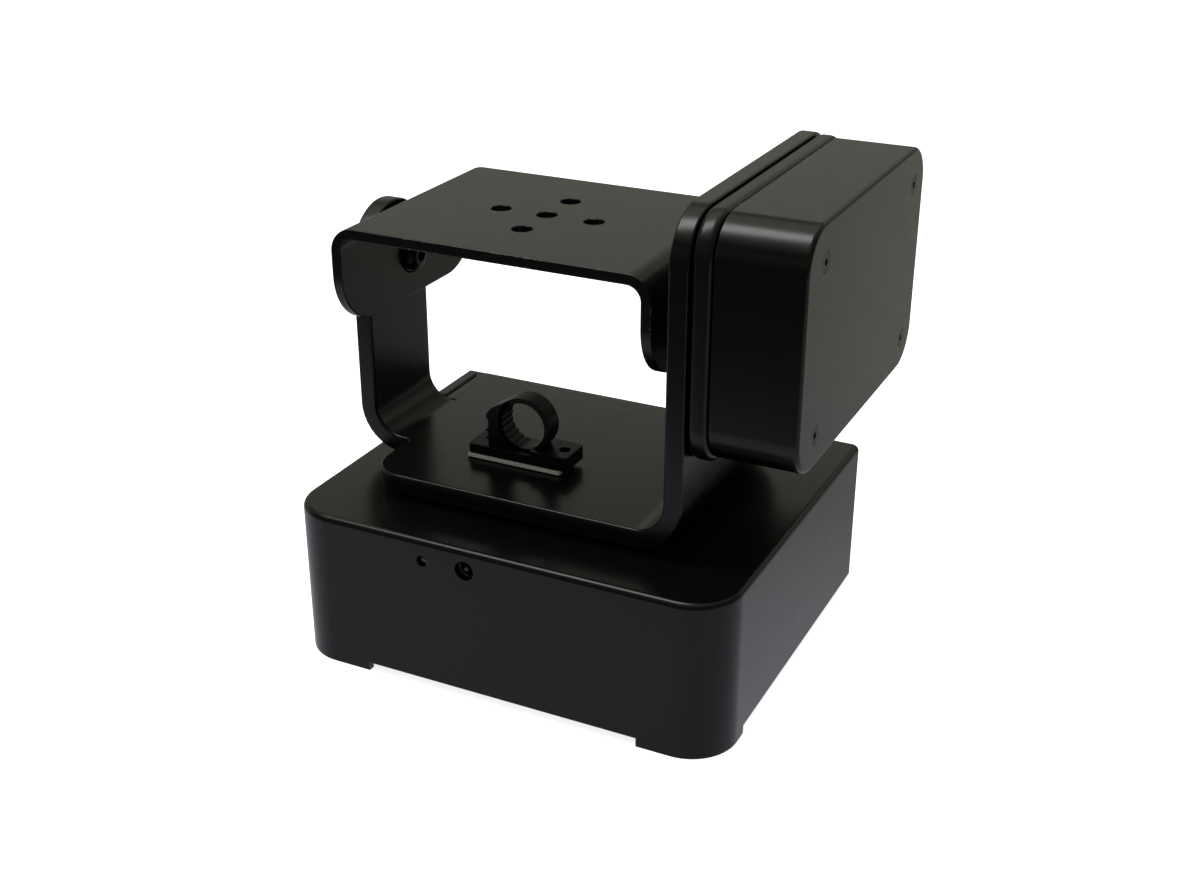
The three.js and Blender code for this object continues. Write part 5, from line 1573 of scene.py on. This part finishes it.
@dataclass
class Studio:
    """Camera, soft lamp, white surroundings and a pale floor."""

    eye: Triple = (210.32, -423.69, 284.04)
    azimuth: float = 25.79
    elevation: float = 25.08
    roll: float = -0.195
    lens: float = 47.72
    floor: float = 12.0
    floor_colour: str = "#e4e4e2"
    floor_share: float = 0.8
    # Painted light and shade of the floor as mirrored: the depths over which it darkens in front of and
    # behind the object, its level behind, and the depths over which its painted tint turns warm
    front_painted_shade: Pair = (-0.29, -0.19)
    back_painted_shade: Pair = (-0.12, 0.12)
    painted_back_level: float = 0.45
    painted_tint_span: Pair = (0.0, 0.3)
    wall_fade: Pair = (0.02, 1.0)
    zenith: float = 1.7
    sheet_top: Pair = (0.452, 0.495)
    ceiling: Pair = (0.6, 0.78)
    strip: float = 0.15
    side_fade: Pair = (0.0, 0.35)
    front_share: float = 0.5
    room: float = 0.6
    white: str = "#ffffff"
    # Colours of the floor's painted reflection, cool near the object and warm further back; the warm one also
    # colours the room in reflections
    sheen: str = "#f3f7ff"
    haze: str = "#fffff0"
    gloom: float = 0.11
    lamp_place: Triple = (-0.33, -0.16, 1.05)
    lamp_aim: Triple = (0.0, 0.0, 0.08)
    lamp_size: Pair = (0.3, 0.55)
    lamp_power: float = 7.2

    def camera(self) -> None:
        """Set the camera where the photograph was taken from."""
        data = bpy.data.cameras.new("photo_camera")
        data.lens = self.lens
        data.sensor_width = 36.0
        data.clip_start = 0.01
        data.clip_end = 100.0
        turn, tip, roll = math.radians(self.azimuth), math.radians(self.elevation), math.radians(self.roll)
        forward = Vector((-math.sin(turn) * math.cos(tip), math.cos(turn) * math.cos(tip), -math.sin(tip)))
        right = Vector((math.cos(turn), math.sin(turn), 0.0))
        across = right * math.cos(roll) + forward.cross(right) * math.sin(roll)
        rows = Matrix((across, -forward.cross(across), -forward)).transposed().to_4x4()
        made = linked("photo_camera", data)
        made.matrix_world = Matrix.Translation((Vector(self.eye) + origin()) * MM) @ rows
        bpy.context.scene.camera = made

    def lamp(self) -> None:
        """Hang a soft rectangular lamp that points at the middle of the object."""
        data = bpy.data.lights.new("overhead_softbox", "AREA")
        data.shape = "RECTANGLE"
        data.size, data.size_y = self.lamp_size
        data.energy = self.lamp_power
        made = linked("overhead_softbox", data)
        made.location = self.lamp_place
        way = Vector(self.lamp_aim) - Vector(self.lamp_place)
        made.rotation_euler = way.to_track_quat("-Z", "Y").to_euler()

    def shown(self, tree: Tree, plain: Node, white: Node, mirrored: Node) -> Node:
        """Show one shader to the camera, another one in reflections and a third to all other light.

        Args:
            tree: Node tree of the material or the world.
            plain: Shader that lights the object and is lit by the lamp.
            white: Shader that the camera sees, also through glass.
            mirrored: Shader that gloss and metal mirror.

        Returns:
            The shader of all three.
        """
        path = add(tree, "ShaderNodeLightPath", {}, {}).outputs
        rays = {0: path["Is Camera Ray"], 1: path["Is Transmission Ray"]}
        seen = add(tree, MATH, {"operation": "MAXIMUM"}, rays)
        pick = add(tree, "ShaderNodeMixShader", {}, {0: seen, 1: plain, 2: white})
        return add(tree, "ShaderNodeMixShader", {}, {0: path["Is Glossy Ray"], 1: pick, 2: mirrored})

    def ground(self) -> None:
        """Lay the pale floor: white to the camera, with the object's shadow on it, and a painted glow in
        reflections, bright near the object with painted shade in front of it and behind it.
        """
        shape = bmesh.new()
        half = self.floor / 2
        corners = ((-half, -half), (half, -half), (half, half), (-half, half))
        shape.faces.new([shape.verts.new((x, y, 0)) for x, y in corners])
        made = loose_object(shape, "studio_floor")
        material = bpy.data.materials.new("pale_floor")
        tree = emptied(material)
        matt = add(tree, "ShaderNodeBsdfDiffuse", {}, {"Color": linear(self.floor_colour)})
        glow = {"Color": linear(self.white), "Strength": self.floor_share}
        glow = add(tree, "ShaderNodeEmission", {}, glow)
        bright = add(tree, "ShaderNodeAddShader", {}, {0: matt, 1: glow})
        point = add(tree, "ShaderNodeTexCoord", {}, {}).outputs["Object"]
        depth = add(tree, "ShaderNodeSeparateXYZ", {}, {"Vector": point}).outputs["Y"]
        # Painted light and shade on the floor as mirrored: full glow near the object, painted shade down to
        # the gloom level in front of it and to a lower level behind it
        painted_fades = ((*self.front_painted_shade, self.gloom), (*self.back_painted_shade, 1.0, self.painted_back_level), self.painted_tint_span)
        front, back, painted_tint = [add(tree, RANGE, {}, dict(zip(LIMITS, (depth, *fade)))) for fade in painted_fades]
        sheen = add(tree, MATH, {"operation": "MULTIPLY"}, {0: front, 1: back})
        # Painted tint of the floor as mirrored: cool near the object, warm further back
        painted_tint = {"Factor": painted_tint, "A": linear(self.sheen), "B": linear(self.haze)}
        painted_tint = add(tree, MIX, {"data_type": "RGBA"}, painted_tint)
        sheen = add(tree, "ShaderNodeEmission", {}, {"Color": painted_tint, "Strength": sheen})
        surface = self.shown(tree, matt, bright, sheen)
        add(tree, "ShaderNodeOutputMaterial", {}, {"Surface": surface})
        made.data.materials.append(material)

    def surroundings(self) -> None:
        """Set the room: an even white to the camera, with a white sheet behind the object in reflections."""
        scene = bpy.context.scene
        scene.world = bpy.data.worlds.new("white_room")
        tree = emptied(scene.world)
        turn = math.radians(self.azimuth)
        ahead = (-math.sin(turn), math.cos(turn), 0.0)
        way = add(tree, "ShaderNodeTexCoord", {}, {}).outputs["Generated"]
        behind = add(tree, "ShaderNodeVectorMath", {"operation": "DOT_PRODUCT"}, {0: way, 1: ahead})
        rise = add(tree, "ShaderNodeSeparateXYZ", {}, {"Vector": way}).outputs["Z"]
        sheet, wall, fall, roof = [
            add(tree, RANGE, {}, dict(zip(LIMITS, row)))
            for row in (
                (behind.outputs["Value"], *self.side_fade, self.front_share),
                (rise, *self.wall_fade, self.gloom, self.zenith),
                (rise, *self.sheet_top, 1.0, self.strip),
                (rise, *self.ceiling),
            )
        ]
        banded = add(tree, MATH, {"operation": "MAXIMUM"}, {0: fall, 1: roof})
        for share in (wall, banded):
            sheet = add(tree, MATH, {"operation": "MULTIPLY"}, {0: sheet, 1: share})
        even, white, mirrored = [
            add(tree, "ShaderNodeBackground", {}, {"Color": linear(colour), "Strength": strength})
            for colour, strength in ((self.white, self.room), (self.white, 1.0), (self.haze, sheet))
        ]
        add(tree, "ShaderNodeOutputWorld", {}, {"Surface": self.shown(tree, even, white, mirrored)})
        scene.view_settings.view_transform = "Standard"

    def dress(self) -> None:
        """Set up the whole studio."""
        self.camera()
        self.ground()
        self.surroundings()
        self.lamp()
        LOG.info("studio ready")


def main() -> None:
    """Build the whole model round the frame."""
    logging.basicConfig(level=logging.INFO, format="%(name)s: %(message)s")
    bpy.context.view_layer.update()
    Studio().dress()
    for part in (
        BaseHousing(),
        UnderSide(),
        FrontPanel(),
        Turntable(),
        Yoke(),
        CableClip(),
        TiltDrive(),
        LeftPivot(),
        CameraPlatform(),
        TiltHub(),
        HiddenWorks(),
    ):
        LOG.info("%s", type(part).__name__)
        part.dress()


if __name__ == "__main__":
    main()
